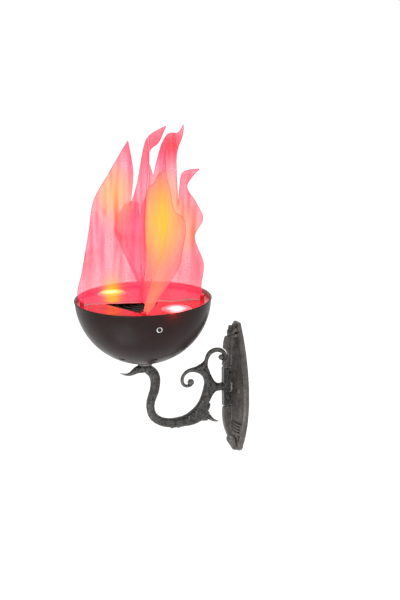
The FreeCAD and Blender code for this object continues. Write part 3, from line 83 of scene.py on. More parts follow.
def add_node(tree: Tree, kind: str, settings: dict | None = None,
             inputs: dict | None = None) -> Node:
    """Add one node to a shader or geometry tree, set up and linked.

    Args:
        tree: The tree it goes in.
        kind: The node's type name.
        settings: Its properties.
        inputs: For each input, by name or number, a value, the socket that feeds it, or the node
            whose first output does.

    Returns:
        The new node.
    """
    made = tree.nodes.new(kind)
    for name, value in (settings or {}).items():
        setattr(made, name, value)
    for name, value in (inputs or {}).items():
        if isinstance(value, Node):
            value = value.outputs[0]
        if isinstance(value, Socket):
            tree.links.new(value, made.inputs[name])
        else:
            made.inputs[name].default_value = value
    return made


def per_metre(size_mm: float) -> float:
    """The texture scale that makes a pattern's cells this many millimetres across."""
    return 1.0 / (size_mm * MM)


def wave_scale(size_mm: float) -> float:
    """The scale at which a wave texture runs one radian in this many millimetres."""
    return per_metre(size_mm) / WAVE_RADIANS


class Finish:
    """A named surface: its own tree round one principled shader."""

    label: str

    def material(self) -> bpy.types.Material:
        """Build the material, or give back the one already built.

        Returns:
            The material, whose tree ends in one principled shader.
        """
        made = bpy.data.materials.get(self.label)
        if made is None:
            made = bpy.data.materials.new(self.label)
            made.use_nodes = True
            tree = made.node_tree
            tree.nodes.clear()
            place = add_node(tree, "ShaderNodeTexCoord").outputs["Object"]
            shader = add_node(tree, "ShaderNodeBsdfPrincipled", inputs=self.paint(tree, place))
            add_node(tree, "ShaderNodeOutputMaterial", inputs={"Surface": shader})
        return made

    def paint(self, tree: Tree, place: Socket) -> Look:
        """Lay the surface's patterns.

        Args:
            tree: The material's tree.
            place: Where on the object the point is, in metres.

        Returns:
            For each of the shader's inputs what add_node takes.
        """
        raise NotImplementedError


def mottle(tree: Tree, place: Socket, size_mm: float, dark: str, light: str,
           spread: tuple[float, float] = (0.35, 0.65)) -> Socket:
    """A soft cloudy change between two colours.

    Args:
        tree: The material's tree.
        place: The coordinates that it follows.
        size_mm: How far apart its clouds are.
        dark: The darker colour.
        light: The lighter colour.
        spread: Where in the noise the change begins and ends.

    Returns:
        The colour's socket.
    """
    cloud = add_node(tree, "ShaderNodeTexNoise", inputs={
        "Vector": place, "Scale": per_metre(size_mm), "Detail": 4.0, "Roughness": 0.6})
    ramp = add_node(tree, "ShaderNodeValToRGB", inputs={"Fac": cloud})
    for stop, number, colour in zip(ramp.color_ramp.elements, spread, (dark, light)):
        stop.position = number
        stop.color = linear(colour)
    return ramp.outputs["Color"]


def vary(tree: Tree, place: Socket, size_mm: float, low: float, high: float) -> Socket:
    """A number that wanders between two values over the surface, such as a roughness.

    Args:
        tree: The material's tree.
        place: The coordinates that it follows.
        size_mm: How far apart its clouds are.
        low: The least value.
        high: The greatest value.

    Returns:
        The number's socket.
    """
    cloud = add_node(tree, "ShaderNodeTexNoise", inputs={
        "Vector": place, "Scale": per_metre(size_mm), "Detail": 3.0})
    return add_node(tree, "ShaderNodeMapRange", inputs={
        "Value": cloud, "From Min": 0.3, "From Max": 0.7, "To Min": low,
        "To Max": high}).outputs["Result"]


def grain(tree: Tree, place: Socket, size_mm: float, strength: float, depth_mm: float,
          detail: float = 2.0, over: Node | None = None) -> Socket:
    """Noise that stands up from the surface.

    Args:
        tree: The material's tree.
        place: The coordinates that it follows.
        size_mm: How large its grains are.
        strength: How strongly it shows.
        depth_mm: How deep it is.
        detail: How much finer noise it carries.
        over: The bump that it lies on.

    Returns:
        The normal's socket.
    """
    grains = add_node(tree, "ShaderNodeTexNoise", inputs={
        "Vector": place, "Scale": per_metre(size_mm), "Detail": detail})
    raised = {"Height": grains, "Strength": strength, "Distance": depth_mm * MM}
    if over is not None:
        raised["Normal"] = over
    return add_node(tree, "ShaderNodeBump", inputs=raised).outputs["Normal"]


@dataclass(frozen=True)
class CastIronPaint(Finish):
    """Sand-cast iron under a thin dark grey paint: beaten facets, sand grain, and paler outer edges,
    partly rubbed paint and partly a painted highlight.
    """

    label: str = "sand_cast_iron_painted"
    shade: str = "#3b3937"
    hollow: str = "#181615"
    worn_and_highlit: str = "#8e8a86"
    cloud_mm: float = 7.0
    facet_mm: float = 4.5
    beaten: float = 1.0
    sand_mm: float = 0.9

    def paint(self, tree: Tree, place: Socket) -> Look:
        """Facets as soft cells, sand as fine noise, and paler paint on the outer edges: partly rubbed
        wear, partly a painted highlight.
        """
        base = mottle(tree, place, self.cloud_mm, self.hollow, self.shade, (0.4, 0.6))
        # Paler outer edges: partly rubbed paint, partly a painted highlight along the bevels.
        edge = add_node(tree, "ShaderNodeNewGeometry").outputs["Pointiness"]
        rubbed_and_highlit = add_node(tree, "ShaderNodeMapRange", inputs={
            "Value": edge, "From Min": 0.505, "From Max": 0.55, "To Min": 0.0, "To Max": 0.75})
        colour = add_node(tree, "ShaderNodeMix", {"data_type": "RGBA"}, {
            "Factor": rubbed_and_highlit, "A": base, "B": linear(self.worn_and_highlit)})
        facets = add_node(tree, "ShaderNodeTexVoronoi", {"feature": "SMOOTH_F1"}, {
            "Vector": place, "Scale": per_metre(self.facet_mm), "Smoothness": 0.6})
        beaten = add_node(tree, "ShaderNodeBump", inputs={
            "Height": facets, "Strength": self.beaten, "Distance": 1.4 * MM})
        return {"Base Color": colour.outputs[2], "Metallic": 0.4,
                "Roughness": vary(tree, place, 9.0, 0.24, 0.44),
                "Normal": grain(tree, place, self.sand_mm, 0.35, 0.2, over=beaten)}


@dataclass(frozen=True)
class SpunSteelPaint(Finish):
    """Spun sheet steel under satin paint outside, bare inside: faint lathe rings, orange peel."""

    label = "spun_steel_satin_paint"
    shade: str = "#261a19"
    hollow: str = "#1a1211"
    inside: str = "#9a928e"
    ring_radian_mm: float = 2.4
    axis_y: float = 0.0
    rim_z: float = 0.0
    radius: float = 0.15

    def paint(self, tree: Tree, place: Socket) -> Look:
        """A lathe's rings, under a millimetre apart, are too fine to show and are drawn coarser."""
        paint = mottle(tree, place, 70.0, self.hollow, self.shade, (0.2, 0.7))
        centred = add_node(tree, "ShaderNodeMapping", inputs={
            "Vector": place, "Location": (0.0, -self.axis_y, -self.rim_z)})
        facing = add_node(tree, "ShaderNodeNewGeometry").outputs["True Normal"]
        outwards = add_node(tree, "ShaderNodeVectorMath", {"operation": "DOT_PRODUCT"}, {
            0: facing, 1: centred})
        is_outside = add_node(tree, "ShaderNodeMath", {"operation": "GREATER_THAN"}, {
            0: outwards.outputs["Value"], 1: -self.radius * 0.6})
        colour = add_node(tree, "ShaderNodeMix", {"data_type": "RGBA"}, {
            "Factor": is_outside, "A": linear(self.inside), "B": paint})
        rings = add_node(tree, "ShaderNodeTexWave", RINGS_UP, {
            "Vector": centred, "Scale": wave_scale(self.ring_radian_mm), "Distortion": 0.4,
            "Detail": 1.0})
        turned = add_node(tree, "ShaderNodeBump", inputs={
            "Height": rings.outputs["Fac"], "Strength": 0.05, "Distance": 0.1 * MM})
        return {"Base Color": colour.outputs[2], "Specular IOR Level": 0.1,
                "Roughness": vary(tree, place, 30.0, 0.26, 0.36),
                "Normal": grain(tree, place, 1.6, 0.12, 0.1, over=turned)}


@dataclass(frozen=True)
class GrainedFinish(Finish):
    """One colour with a faint cloud in it, an uneven gloss and a fine grain."""

    label: str
    dark: str
    light: str
    low_rough: float
    high_rough: float
    grain_mm: float
    bump: float
    cloud_mm = 18.0
    gloss_mm = 5.0
    grain_depth_mm = 0.08

    def paint(self, tree: Tree, place: Socket) -> Look:
        """The cloud, the gloss and the grain."""
        return {"Base Color": mottle(tree, place, self.cloud_mm, self.dark, self.light),
                "Roughness": vary(tree, place, self.gloss_mm, self.low_rough, self.high_rough),
                "Normal": grain(tree, place, self.grain_mm, self.bump, self.grain_depth_mm)}


@dataclass(frozen=True)
class SolidFinish(GrainedFinish):
    """Plastic, rubber, glaze or paint, with a moulded or sprayed grain."""

    ior: float = 1.46

    def paint(self, tree: Tree, place: Socket) -> Look:
        """The patterns under a clear surface."""
        return {**super().paint(tree, place), "IOR": self.ior}


@dataclass(frozen=True)
class MetalFinish(GrainedFinish):
    """Bare or plated metal: tighter clouds and a finer grain."""

    cloud_mm = 12.0
    gloss_mm = 3.0
    grain_depth_mm = 0.05

    def paint(self, tree: Tree, place: Socket) -> Look:
        """The patterns on metal."""
        return {**super().paint(tree, place), "Metallic": 1.0}


@dataclass(frozen=True)
class LitGlass(Finish):
    """The lens of a lit lamp: pressed rings round its own axis and a brighter middle."""

    label: str
    middle: tuple[float, float]
    core: str
    edge: str
    radius_mm: float
    strength: float
    ring_radian_mm: float = 4.5

    def paint(self, tree: Tree, place: Socket) -> Look:
        """Brightness falls off from the middle, and pressed rings break it up."""
        centred = add_node(tree, "ShaderNodeMapping", inputs={
            "Vector": place, "Location": (-self.middle[0], -self.middle[1], 0.0)})
        flat = add_node(tree, "ShaderNodeVectorMath", {"operation": "MULTIPLY"}, {
            0: centred, 1: (1.0, 1.0, 0.0)})
        away = add_node(tree, "ShaderNodeVectorMath", {"operation": "LENGTH"}, {
            0: flat})
        share = add_node(tree, "ShaderNodeMath", {"operation": "DIVIDE"}, {
            0: away.outputs["Value"], 1: self.radius_mm * MM})
        falling = add_node(tree, "ShaderNodeValToRGB", inputs={"Fac": share})
        for stop, number, colour in zip(falling.color_ramp.elements, (0.25, 0.95),
                                        (self.core, self.edge)):
            stop.position = number
            stop.color = linear(colour)
        rings = add_node(tree, "ShaderNodeTexWave", RINGS_UP, {
            "Vector": centred, "Scale": wave_scale(self.ring_radian_mm)}).outputs["Fac"]
        banded = add_node(tree, "ShaderNodeMath", {"operation": "MULTIPLY"}, {0: rings, 1: share})
        glow = add_node(tree, "ShaderNodeMix", {"data_type": "RGBA"}, {
            "Factor": banded, "A": falling, "B": linear(self.edge)}).outputs[2]
        pressed = add_node(tree, "ShaderNodeBump", inputs={
            "Height": rings, "Strength": 0.4, "Distance": 0.3 * MM})
        return {"Base Color": glow, "Emission Color": glow, "Emission Strength": self.strength,
                "Roughness": 0.12, "IOR": 1.5, "Normal": pressed}


@dataclass(frozen=True)
class ColouredFilm(Finish):
    """Thin coloured lighting film, lit from below: an even glow painted in as emission, slight waves, a
    wet gloss.
    """

    label: str = "red_lighting_film_lit"
    dark: str = "#8c0a1a"
    light: str = "#bc1428"
    strength: float = 0.28
    wave_mm: float = 40.0

    def paint(self, tree: Tree, place: Socket) -> Look:
        """The glow wanders a little with the film's waves."""
        glow = mottle(tree, place, self.wave_mm, self.dark, self.light, (0.3, 0.7))
        return {"Base Color": glow, "Emission Color": glow, "Emission Strength": self.strength,
                "Roughness": 0.2, "IOR": 1.49, "Specular IOR Level": 0.25,
                "Normal": grain(tree, place, self.wave_mm / 2, 0.5, 2.0, detail=1.0)}


@dataclass(frozen=True)
class FlameSilk(Finish):
    """Thin plain-woven silk, dyed pink and lit from below: it lets the background through. Its glow,
    the amber lamp light and the deeper red shade on it are painted in.
    """

    label: str = "plain_woven_flame_silk"
    # deep is the painted shade colour and amber the painted lamp-light colour; glow is a painted
    # emission.
    deep: str = "#ff0c28"
    rose: str = "#ff375e"
    rose_pale: str = "#ff4e74"
    amber: str = "#ffae34"
    cover: float = 0.42
    cover_change: float = 0.03
    thread_radian_mm: float = 1.1
    glow: float = 0.42

    def woven(self, tree: Tree, cloth: Socket) -> Socket:
        """Waves that cross like warp and weft.

        Threads lie a tenth of a millimetre apart, too fine to show, so the waves are as coarse as
        the slubs that the eye sees.

        Args:
            tree: The material's tree.
            cloth: Where on the flat cloth the point is, in metres.

        Returns:
            How high the weave stands.
        """
        threads = []
        for turn in (0.0, math.pi / 2):
            laid = add_node(tree, "ShaderNodeMapping", inputs={
                "Vector": cloth, "Rotation": (0.0, 0.0, turn)})
            threads.append(add_node(tree, "ShaderNodeTexWave", inputs={
                "Vector": laid, "Scale": wave_scale(self.thread_radian_mm),
                "Distortion": 0.6, "Detail": 1.0}).outputs["Fac"])
        return add_node(tree, "ShaderNodeMath", {"operation": "MULTIPLY"}, {
            0: threads[0], 1: threads[1]}).outputs["Value"]

    def paint(self, tree: Tree, place: Socket) -> Look:
        """Painted amber lamp light where the lamps reach it, painted shade in deep red above, and
        denser along its folds.
        """
        light_and_shade = add_node(tree, "ShaderNodeAttribute", {"attribute_name": "painted_light_and_shade"}).outputs["Fac"]
        slant = add_node(tree, "ShaderNodeAttribute", {"attribute_name": "slant"}).outputs["Fac"]
        cloud = mottle(tree, place, 60.0, self.rose, self.rose_pale, (0.35, 0.7))
        painted_light = add_node(tree, "ShaderNodeMath", {"operation": "MAXIMUM"}, {0: light_and_shade, 1: 0.0})
        painted_shade = add_node(tree, "ShaderNodeMath", {"operation": "MULTIPLY", "use_clamp": True}, {
            0: light_and_shade, 1: -1.0})
        lit = add_node(tree, "ShaderNodeMix", {"data_type": "RGBA"}, {
            "Factor": painted_light, "A": cloud, "B": linear(self.amber)})
        colour = add_node(tree, "ShaderNodeMix", {"data_type": "RGBA"}, {
            "Factor": painted_shade, "A": lit.outputs[2], "B": linear(self.deep)}).outputs[2]
        cloth = add_node(tree, "ShaderNodeUVMap", {"uv_map": "cloth"}).outputs["UV"]
        weave = self.woven(tree, cloth)
        streak = add_node(tree, "ShaderNodeMapping", inputs={
            "Vector": cloth, "Scale": (1.0, 0.3, 1.0)})
        cover = add_node(tree, "ShaderNodeTexNoise", inputs={
            "Vector": streak, "Scale": per_metre(30.0), "Detail": 2.0})
        cover = add_node(tree, "ShaderNodeMapRange", inputs={
            "Value": cover, "From Min": 0.3, "From Max": 0.7,
            "To Min": self.cover - self.cover_change,
            "To Max": self.cover + self.cover_change})
        for value, share in ((weave, 0.03), (slant, 0.35), (painted_light, 0.2), (painted_shade, 0.3)):
            cover = add_node(tree, "ShaderNodeMath", {
                "operation": "MULTIPLY_ADD", "use_clamp": True}, {
                0: value, 1: share, 2: cover})
        raised = add_node(tree, "ShaderNodeBump", inputs={
            "Height": weave, "Strength": 0.15, "Distance": 0.05 * MM})
        return {"Base Color": colour, "Emission Color": colour, "Emission Strength": self.glow,
                "Alpha": cover, "Roughness": 0.6, "IOR": 1.2, "Sheen Weight": 0.15,
                "Sheen Tint": linear("#ffd0d8"), "Normal": raised}


class Finishes(Enum):
    """Every finish of the object that isn't tied to one place on it."""

    # Beaten and thinly painted: dark hollows, paler edges that are partly rubbed paint and partly a
    # painted highlight, broken glints.
    CAST = CastIronPaint()
    # The same paint on a flatter casting: quieter clouds and shallower facets.
    CAST_PLATE = CastIronPaint("sand_cast_plate_painted", "#4c4744", "#3b3734", "#605b57", 16.0,
                               7.0, 0.45)
    # Light grey and cloudy with a soft shine.
    ZINC = MetalFinish("zinc_plated_steel", "#9a9da0", "#c6c9cb", 0.28, 0.42, 1.2, 0.12)
    # Bright, almost a mirror.
    CHROME = MetalFinish("chromed_steel", "#c9cbce", "#e8eaec", 0.06, 0.14, 2.0, 0.03)
    # Dark metal, dull enough to hide its slots.
    DARK_SCREW = MetalFinish("blackened_steel", "#2a2725", "#3b3735", 0.35, 0.5, 0.8, 0.15)
    # The brightest metal, for mirrors.
    MIRROR = MetalFinish("vacuum_coated_reflector", "#dcdddf", "#f4f4f6", 0.05, 0.12, 3.0, 0.02)
    # Near black with a faint orange peel.
    BLACK_SHEET = SolidFinish("sprayed_black_sheet_steel", "#0d0c0c", "#191716", 0.5, 0.65, 1.1, 0.2)
    # Even black, half matt.
    BLACK_PLASTIC = SolidFinish("moulded_black_plastic", "#151516", "#1f1f21", 0.45, 0.6, 0.8, 0.25)
    # Warm white, half matt.
    WHITE_PLASTIC = SolidFinish("moulded_white_polyamide", "#dbd8ce", "#e8e6de", 0.35, 0.5, 0.9, 0.15)
    # Cream under a clear gloss.
    CERAMIC = SolidFinish("glazed_lamp_ceramic", "#e9e4d6", "#f5f2e8", 0.12, 0.25, 2.5, 0.1, 1.55)
    # Matt black.
    RUBBER = SolidFinish("moulded_rubber", "#121212", "#1d1d1d", 0.7, 0.85, 0.6, 0.3, 1.52)
    # Deep glossy red.
    RED_LACQUER = SolidFinish("red_lacquered_clip_steel", "#b01824", "#d02430", 0.25, 0.35, 2.0, 0.1)
    # A deep red painted glow with a wet gloss.
    RED_FILM = ColouredFilm()
    # Half clear, pink with painted amber lamp light, painted deep red shade and a painted glow, denser
    # where it folds.
    SILK = FlameSilk()
    SILK_LIGHT = FlameSilk("light_flame_silk", cover=0.34)
    # A denser, duller pink line along the cloth's edge, with darker thread over it.
    HEM = SolidFinish("rolled_silk_hem", "#c03c5c", "#d85a74", 0.6, 0.75, 0.9, 0.2, 1.3)
    THREAD = SolidFinish("twisted_sewing_thread", "#8c2848", "#a83a58", 0.6, 0.75, 0.5, 0.2, 1.5)


def finish_node(node: str, finish: Finish) -> None:
    """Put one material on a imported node, in all its slots.

    Args:
        node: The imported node.
        finish: Its finish.
    """
    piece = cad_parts[node]
    if not piece.data.materials:
        piece.data.materials.append(None)
    for slot in piece.material_slots:
        slot.link = "DATA"
        slot.material = finish.material()


def new_object(name: str, data: bpy.types.ID) -> bpy.types.Object:
    """An object of that mesh, lamp or camera, in the scene at the origin."""
    made = bpy.data.objects.new(name, data)
    bpy.context.scene.collection.objects.link(made)
    return made


def plain_mesh(made: bpy.types.Object, name: str) -> bpy.types.Object:
    """Turn an object with live modifiers to a plain mesh object of another name.

    Args:
        made: The object, which is removed.
        name: The new object's name.

    Returns:
        The new object, at the origin.
    """
    view = bpy.context.evaluated_depsgraph_get()
    mesh = bpy.data.meshes.new_from_object(made.evaluated_get(view))
    mesh.name = name
    bpy.data.objects.remove(made)
    return new_object(name, mesh)


def new_tree(name: str, inputs: dict[str, float | int]) -> Tree:
    """An empty geometry tree with a mesh in, a mesh out and named numbers.

    Args:
        name: The tree's name.
        inputs: Each further input's value: a whole number makes it one that only takes those.

    Returns:
        The tree, without nodes.
    """
    tree = bpy.data.node_groups.new(name, "GeometryNodeTree")
    tree.interface.new_socket("Geometry", in_out="INPUT", socket_type="NodeSocketGeometry")
    tree.interface.new_socket("Geometry", in_out="OUTPUT", socket_type="NodeSocketGeometry")
    for label, value in inputs.items():
        kind = "NodeSocketInt" if isinstance(value, int) else "NodeSocketFloat"
        tree.interface.new_socket(label, in_out="INPUT", socket_type=kind).default_value = value
    return tree


def run_tree(made: bpy.types.Object, tree: Tree, name: str,
             values: dict[str, object]) -> bpy.types.Object:
    """Run a geometry tree on an object and keep the result as a plain mesh.

    Args:
        made: The object that it starts from, which is removed.
        tree: The tree.
        name: The new object's name.
        values: What its named inputs are set to.

    Returns:
        The new object.
    """
    run = made.modifiers.new(tree.name, "NODES")
    run.node_group = tree
    for item in tree.interface.items_tree:
        if item.in_out == "INPUT" and item.name in values:
            run[item.identifier] = values[item.name]
    return plain_mesh(made, name)


# ---- cast bracket

@dataclass
class CastSkin:
    """A sand casting's real surface, laid over its plain solid: soft fillets, beaten facets."""

    node: str
    finish: Finishes
    voxel_mm: float = 1.1
    smooth_steps: int = 5
    facet_mm: float = 6.5
    facet_depth_mm: float = 0.5
    facet_seed: float = 3.0
    weld_mm: float = 0.01

    def tree(self) -> Tree:
        """The tree that beats a surface into shallow facets.

        Returns:
            A tree with inputs Facet Size, Facet Depth and Seed.
        """
        made = new_tree(f"{self.node}_beaten", {
            "Facet Size": 0.006, "Facet Depth": 0.0005, "Seed": 0.0})
        given = add_node(made, "NodeGroupInput").outputs
        scale = add_node(made, "ShaderNodeMath", {"operation": "DIVIDE"}, {
            0: 1.0, 1: given["Facet Size"]})
        cells = add_node(made, "ShaderNodeTexVoronoi", {
            "feature": "SMOOTH_F1", "voronoi_dimensions": "4D"}, {
            "Vector": add_node(made, "GeometryNodeInputPosition"), "W": given["Seed"],
            "Scale": scale, "Smoothness": 0.35})
        depth = add_node(made, "ShaderNodeMath", {"operation": "MULTIPLY"}, {
            0: cells, 1: given["Facet Depth"]})
        step = add_node(made, "ShaderNodeVectorMath", {"operation": "SCALE"}, {
            0: add_node(made, "GeometryNodeInputNormal"), "Scale": depth})
        moved = add_node(made, "GeometryNodeSetPosition", inputs={
            "Geometry": given["Geometry"], "Offset": step})
        smooth = add_node(made, "GeometryNodeSetShadeSmooth", inputs={
            "Geometry": moved, "Shade Smooth": True})
        dressed = add_node(made, "GeometryNodeSetMaterial", inputs={
            "Geometry": smooth, "Material": self.finish.value.material()})
        add_node(made, "NodeGroupOutput", inputs={0: dressed})
        return made

    def build(self) -> bpy.types.Object:
        """Remesh a copy of the solid, soften its seams and beat it.

        Returns:
            The skin, which stands for the node.
        """
        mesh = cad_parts[self.node].data.copy()
        mesh.materials.clear()
        work = bmesh.new()
        work.from_mesh(mesh)
        bmesh.ops.remove_doubles(work, verts=work.verts, dist=self.weld_mm * MM)
        work.to_mesh(mesh)
        work.free()
        base = new_object(f"{self.node}_blank", mesh)
        remesh = base.modifiers.new("casting", "REMESH")
        remesh.mode = "VOXEL"
        remesh.voxel_size = self.voxel_mm * MM
        soften = base.modifiers.new("fillets", "SMOOTH")
        soften.factor = 0.5
        soften.iterations = self.smooth_steps
        blank = plain_mesh(base, f"{self.node}_softened")
        skin = run_tree(blank, self.tree(), f"{self.node}_skin", {
            "Facet Size": self.facet_mm * MM, "Facet Depth": self.facet_depth_mm * MM,
            "Seed": self.facet_seed})
        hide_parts(self.node)
        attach(skin, ROOT_BODY)
        log.info("%s: %d faces", skin.name, len(skin.data.polygons))
        return skin


# ---- silk flames

# Small waves on the folds: share of the fold's depth, waves per fold, lean per millimetre of height.
RIPPLES = ((0.16, 2.3, 0.021), (0.10, 4.1, -0.034))
# How often the cloth is crumpled, along it and up it.
CRUMPLES_PER_MM = (0.03, 0.018)


class Level(NamedTuple):
    """How the cloth hangs at one height above the rim, in millimetres and degrees."""

    height: float
    shift: float
    depth: float
    turn: float

    def towards(self, other: "Level", share: float) -> "Level":
        """The level that share of the way to another."""
        return Level(*(a + (b - a) * share for a, b in zip(self, other)))


@dataclass(frozen=True)
class HotSpot:
    """A patch of painted lamp light, or with a strength below 0 a patch of painted shade in deeper red,
    in millimetres along the sheet and above the rim.
    """

    along: float
    height: float
    wide: float
    tall: float
    light_and_shade: float

    def at(self, along: float, height: float) -> float:
        """How strong the painted light is at a point; below 0 it is painted shade and the red deepens.
        """
        away = ((along - self.along) / self.wide) ** 2 + ((height - self.height) / self.tall) ** 2
        return self.light_and_shade * math.exp(-away)


@dataclass(frozen=True)
class Crease:
    """A soft ridge pulled across the cloth between two points (along, height)."""

    begin: tuple[float, float]
    end: tuple[float, float]
    deep: float = 3.0
    wide: float = 6.0

    def at(self, along: float, height: float) -> float:
        """How far it lifts the cloth at a point.

        Args:
            along: Millimetres along the sheet.
            height: Millimetres above the rim.

        Returns:
            The lift in millimetres.
        """
        begin, end, here = Vector(self.begin), Vector(self.end), Vector((along, height))
        run = end - begin
        share = (here - begin).dot(run) / run.length_squared
        aside = (here - begin - run * share).length
        past = max(0.0, -share, share - 1.0) * run.length
        return self.deep * math.exp(-(aside ** 2 + past ** 2) / self.wide ** 2)


@dataclass
class SilkSheet:
    """One sheet of flame silk, cut to an outline, slit for the other sheet and standing in folds.

    Its methods take millimetres: along is along the sheet, height is above the rim.
    """

    name: str
    node: str
    bearing: float
    folds: int
    edges: list[list[tuple[float, float]]]
    levels: list[Level]
    hot_spots: list[HotSpot]
    creases: list[Crease]
    middle: Vector
    finish: Finishes
    step: float = 3.0
    thick: float = 0.3
    half: float = 150.0
    slit_room: float = 0.9
    ease: float = 15.0
    calm_height: float = 160.0
    fullness_height: float = 150.0
    crumple: float = 1.6
    crossing_reach: float = 70.0
    hem_radius: float = 0.55
    stitch_length: float = 2.2
    stitch_pitch: float = 5.0
    stitch_seed: int = 7

    def level_at(self, height: float) -> Level:
        """The level at a height, with the change from one to the next eased.

        Args:
            height: The height.

        Returns:
            The level there.
        """
        parts = []
        for near in (height - self.ease, height, height + self.ease):
            for low, high in zip(self.levels, self.levels[1:]):
                if near <= high.height or high is self.levels[-1]:
                    share = (near - low.height) / (high.height - low.height)
                    parts.append(low.towards(high, max(0.0, min(1.0, share))))
                    break
        return parts[0].towards(parts[2], 0.5).towards(parts[1], 1 / 3)

    def lines(self, level: Level) -> tuple[Vector, Vector]:
        """The flat directions along the sheet and out of it.

        Args:
            level: The level whose turn they take.

        Returns:
            Both as unit vectors.
        """
        turn = math.radians(self.bearing + level.turn)
        along = Vector((math.cos(turn), math.sin(turn), 0.0))
        return along, Vector((-along.y, along.x, 0.0))

    def offset(self, along: float, height: float, level: Level) -> float:
        """How far the cloth stands out of its plane: folds, ripples, crumple and creases.

        Args:
            along: The place along the sheet.
            height: The height.
            level: The level at that height.

        Returns:
            The distance. The cloth is calm at the rim and in full movement at calm_height.
        """
        phase = math.pi * (along + self.half) * self.folds / (2 * self.half)
        rise = max(0.0, min(1.0, height / self.calm_height))
        ripple = sum(share * math.sin(phase * waves + height * lean)
                     for share, waves, lean in RIPPLES)
        crumple = self.crumple * noise.noise(Vector((
            along * CRUMPLES_PER_MM[0], height * CRUMPLES_PER_MM[1], self.bearing)))
        return (level.shift - level.depth * math.sin(phase)
                + (level.depth * ripple + crumple) * rise
                + sum(one.at(along, height) for one in self.creases))

    def point(self, along: float, height: float) -> Vector:
        """A point of the cloth.

        Args:
            along: The place along the sheet.
            height: The height.

        Returns:
            The point in metres, in the part's frame.
        """
        level = self.level_at(height)
        way, out = self.lines(level)
        flat = way * along + out * self.offset(along, height, level)
        return self.middle + (flat + Vector((0.0, 0.0, height))) * MM

    def along_at(self, seen: float, height: float) -> float:
        """Where on the cloth an edge drawn on the unturned sheet falls.

        Args:
            seen: The edge's place along the unturned sheet.
            height: The height.

        Returns:
            Its place along the turned sheet.
        """
        level = self.level_at(height)
        turn = math.radians(level.turn)
        along = seen
        for _ in range(6):
            along = (seen + self.offset(along, height, level) * math.sin(turn)) / math.cos(turn)
        return along

    def outline(self) -> list[Vector]:
        """The cut edge as flat points a step apart, run by run.

        Returns:
            Points (along, height) in millimetres, round the sheet once.
        """
        found: list[Vector] = []
        for run in self.edges:
            knots = [Vector(one) for one in (run[0], *run, run[-1])]
            for before, begin, end, after in zip(knots, knots[1:], knots[2:], knots[3:]):
                count = max(1, round((end - begin).length / self.step))
                for number in range(count):
                    t = number / count
                    found.append(0.5 * (2 * begin + (end - before) * t
                                        + (2 * before - 5 * begin + 4 * end - after) * t ** 2
                                        + (3 * begin - before - 3 * end + after) * t ** 3))
        return [Vector((self.along_at(one.x, one.y), one.y)) for one in found]

    def crossing(self, other: "SilkSheet", height: float) -> float:
        """Where along this sheet the other one passes through it.

        Args:
            other: The other sheet.
            height: The height.

        Returns:
            The place along this sheet, found by halving the span round its middle.
        """
        level = other.level_at(height)
        way, out = other.lines(level)

        def side(along: float) -> float:
            """How far this sheet's point at that place lies on one side of the other sheet."""
            away = (self.point(along, height) - other.middle) / MM
            return away.dot(out) - other.offset(away.dot(way), height, level)

        low, high = -self.crossing_reach, self.crossing_reach
        rising = side(high) > side(low)
        for _ in range(24):
            centre = (low + high) / 2
            if (side(centre) > 0) == rising:
                high = centre
            else:
                low = centre
        return (low + high) / 2

    def slit(self, other: "SilkSheet", low: float, high: float) -> list[Vector]:
        """The narrow slot that lets the other sheet through.

        Args:
            other: The other sheet.
            low: Where it begins.
            high: Where it ends.

        Returns:
            Its corners as flat points.
        """
        count = max(2, round((high - low) / self.step))
        heights = [low + (high - low) * number / count for number in range(count + 1)]
        line = [(self.crossing(other, height), height) for height in heights]
        left = [Vector((along - self.slit_room, height)) for along, height in line]
        right = [Vector((along + self.slit_room, height)) for along, height in line]
        return left + right[::-1]

    def cut(self, rim: list[Vector], slot: list[Vector]) -> tuple[list[Vector], list[list[int]]]:
        """Fill the outline with triangles and leave the slot open.

        Args:
            rim: The outline.
            slot: The slot in it.

        Returns:
            Flat points, and the faces between them.
        """
        corners = rim + slot
        left, right = min(one.x for one in rim), max(one.x for one in rim)
        top = max(one.y for one in rim)
        row, height = 0, min(one.y for one in rim) + self.step * 0.6
        while height < top:
            along = left + (row % 2) * self.step / 2
            while along < right:
                here = Vector((along, height))
                if inside(rim, here) and min((one - here).length for one in rim + slot) > self.step / 2:
                    corners.append(here)
                along += self.step
            row += 1
            height += self.step * math.sqrt(3) / 2
        edges = []
        for first, loop in ((0, rim), (len(rim), slot)):
            edges += [(first + number, first + (number + 1) % len(loop))
                      for number in range(len(loop))]
        flat, _, faces, *_ = delaunay_2d_cdt(corners, edges, [], 0, 1e-4)
        kept = []
        for face in faces:
            centre = sum((flat[corner] for corner in face), Vector((0.0, 0.0))) / len(face)
            if inside(rim, centre) and not inside(slot, centre):
                kept.append(face)
        return flat, kept

    def build(self, other: "SilkSheet", slit_from: float, slit_to: float) -> bpy.types.Object:
        """Cut, slit, fold and thicken the sheet.

        Args:
            other: The sheet that passes through it.
            slit_from: The height where its slit begins.
            slit_to: The height where it ends.

        Returns:
            The sheet's object.
        """
        rim = self.outline()
        slot = self.slit(other, slit_from, slit_to)
        flat, kept = self.cut(rim, slot)
        used = sorted({corner for face in kept for corner in face})
        place = {corner: number for number, corner in enumerate(used)}
        mesh = bpy.data.meshes.new(self.name)
        mesh.from_pydata([self.point(*flat[corner]) for corner in used], [],
                         [[place[corner] for corner in face] for face in kept])
        painted_light_and_shade = mesh.attributes.new("painted_light_and_shade", "FLOAT", "POINT")
        slant = mesh.attributes.new("slant", "FLOAT", "POINT")
        for number, corner in enumerate(used):
            along, height = flat[corner]
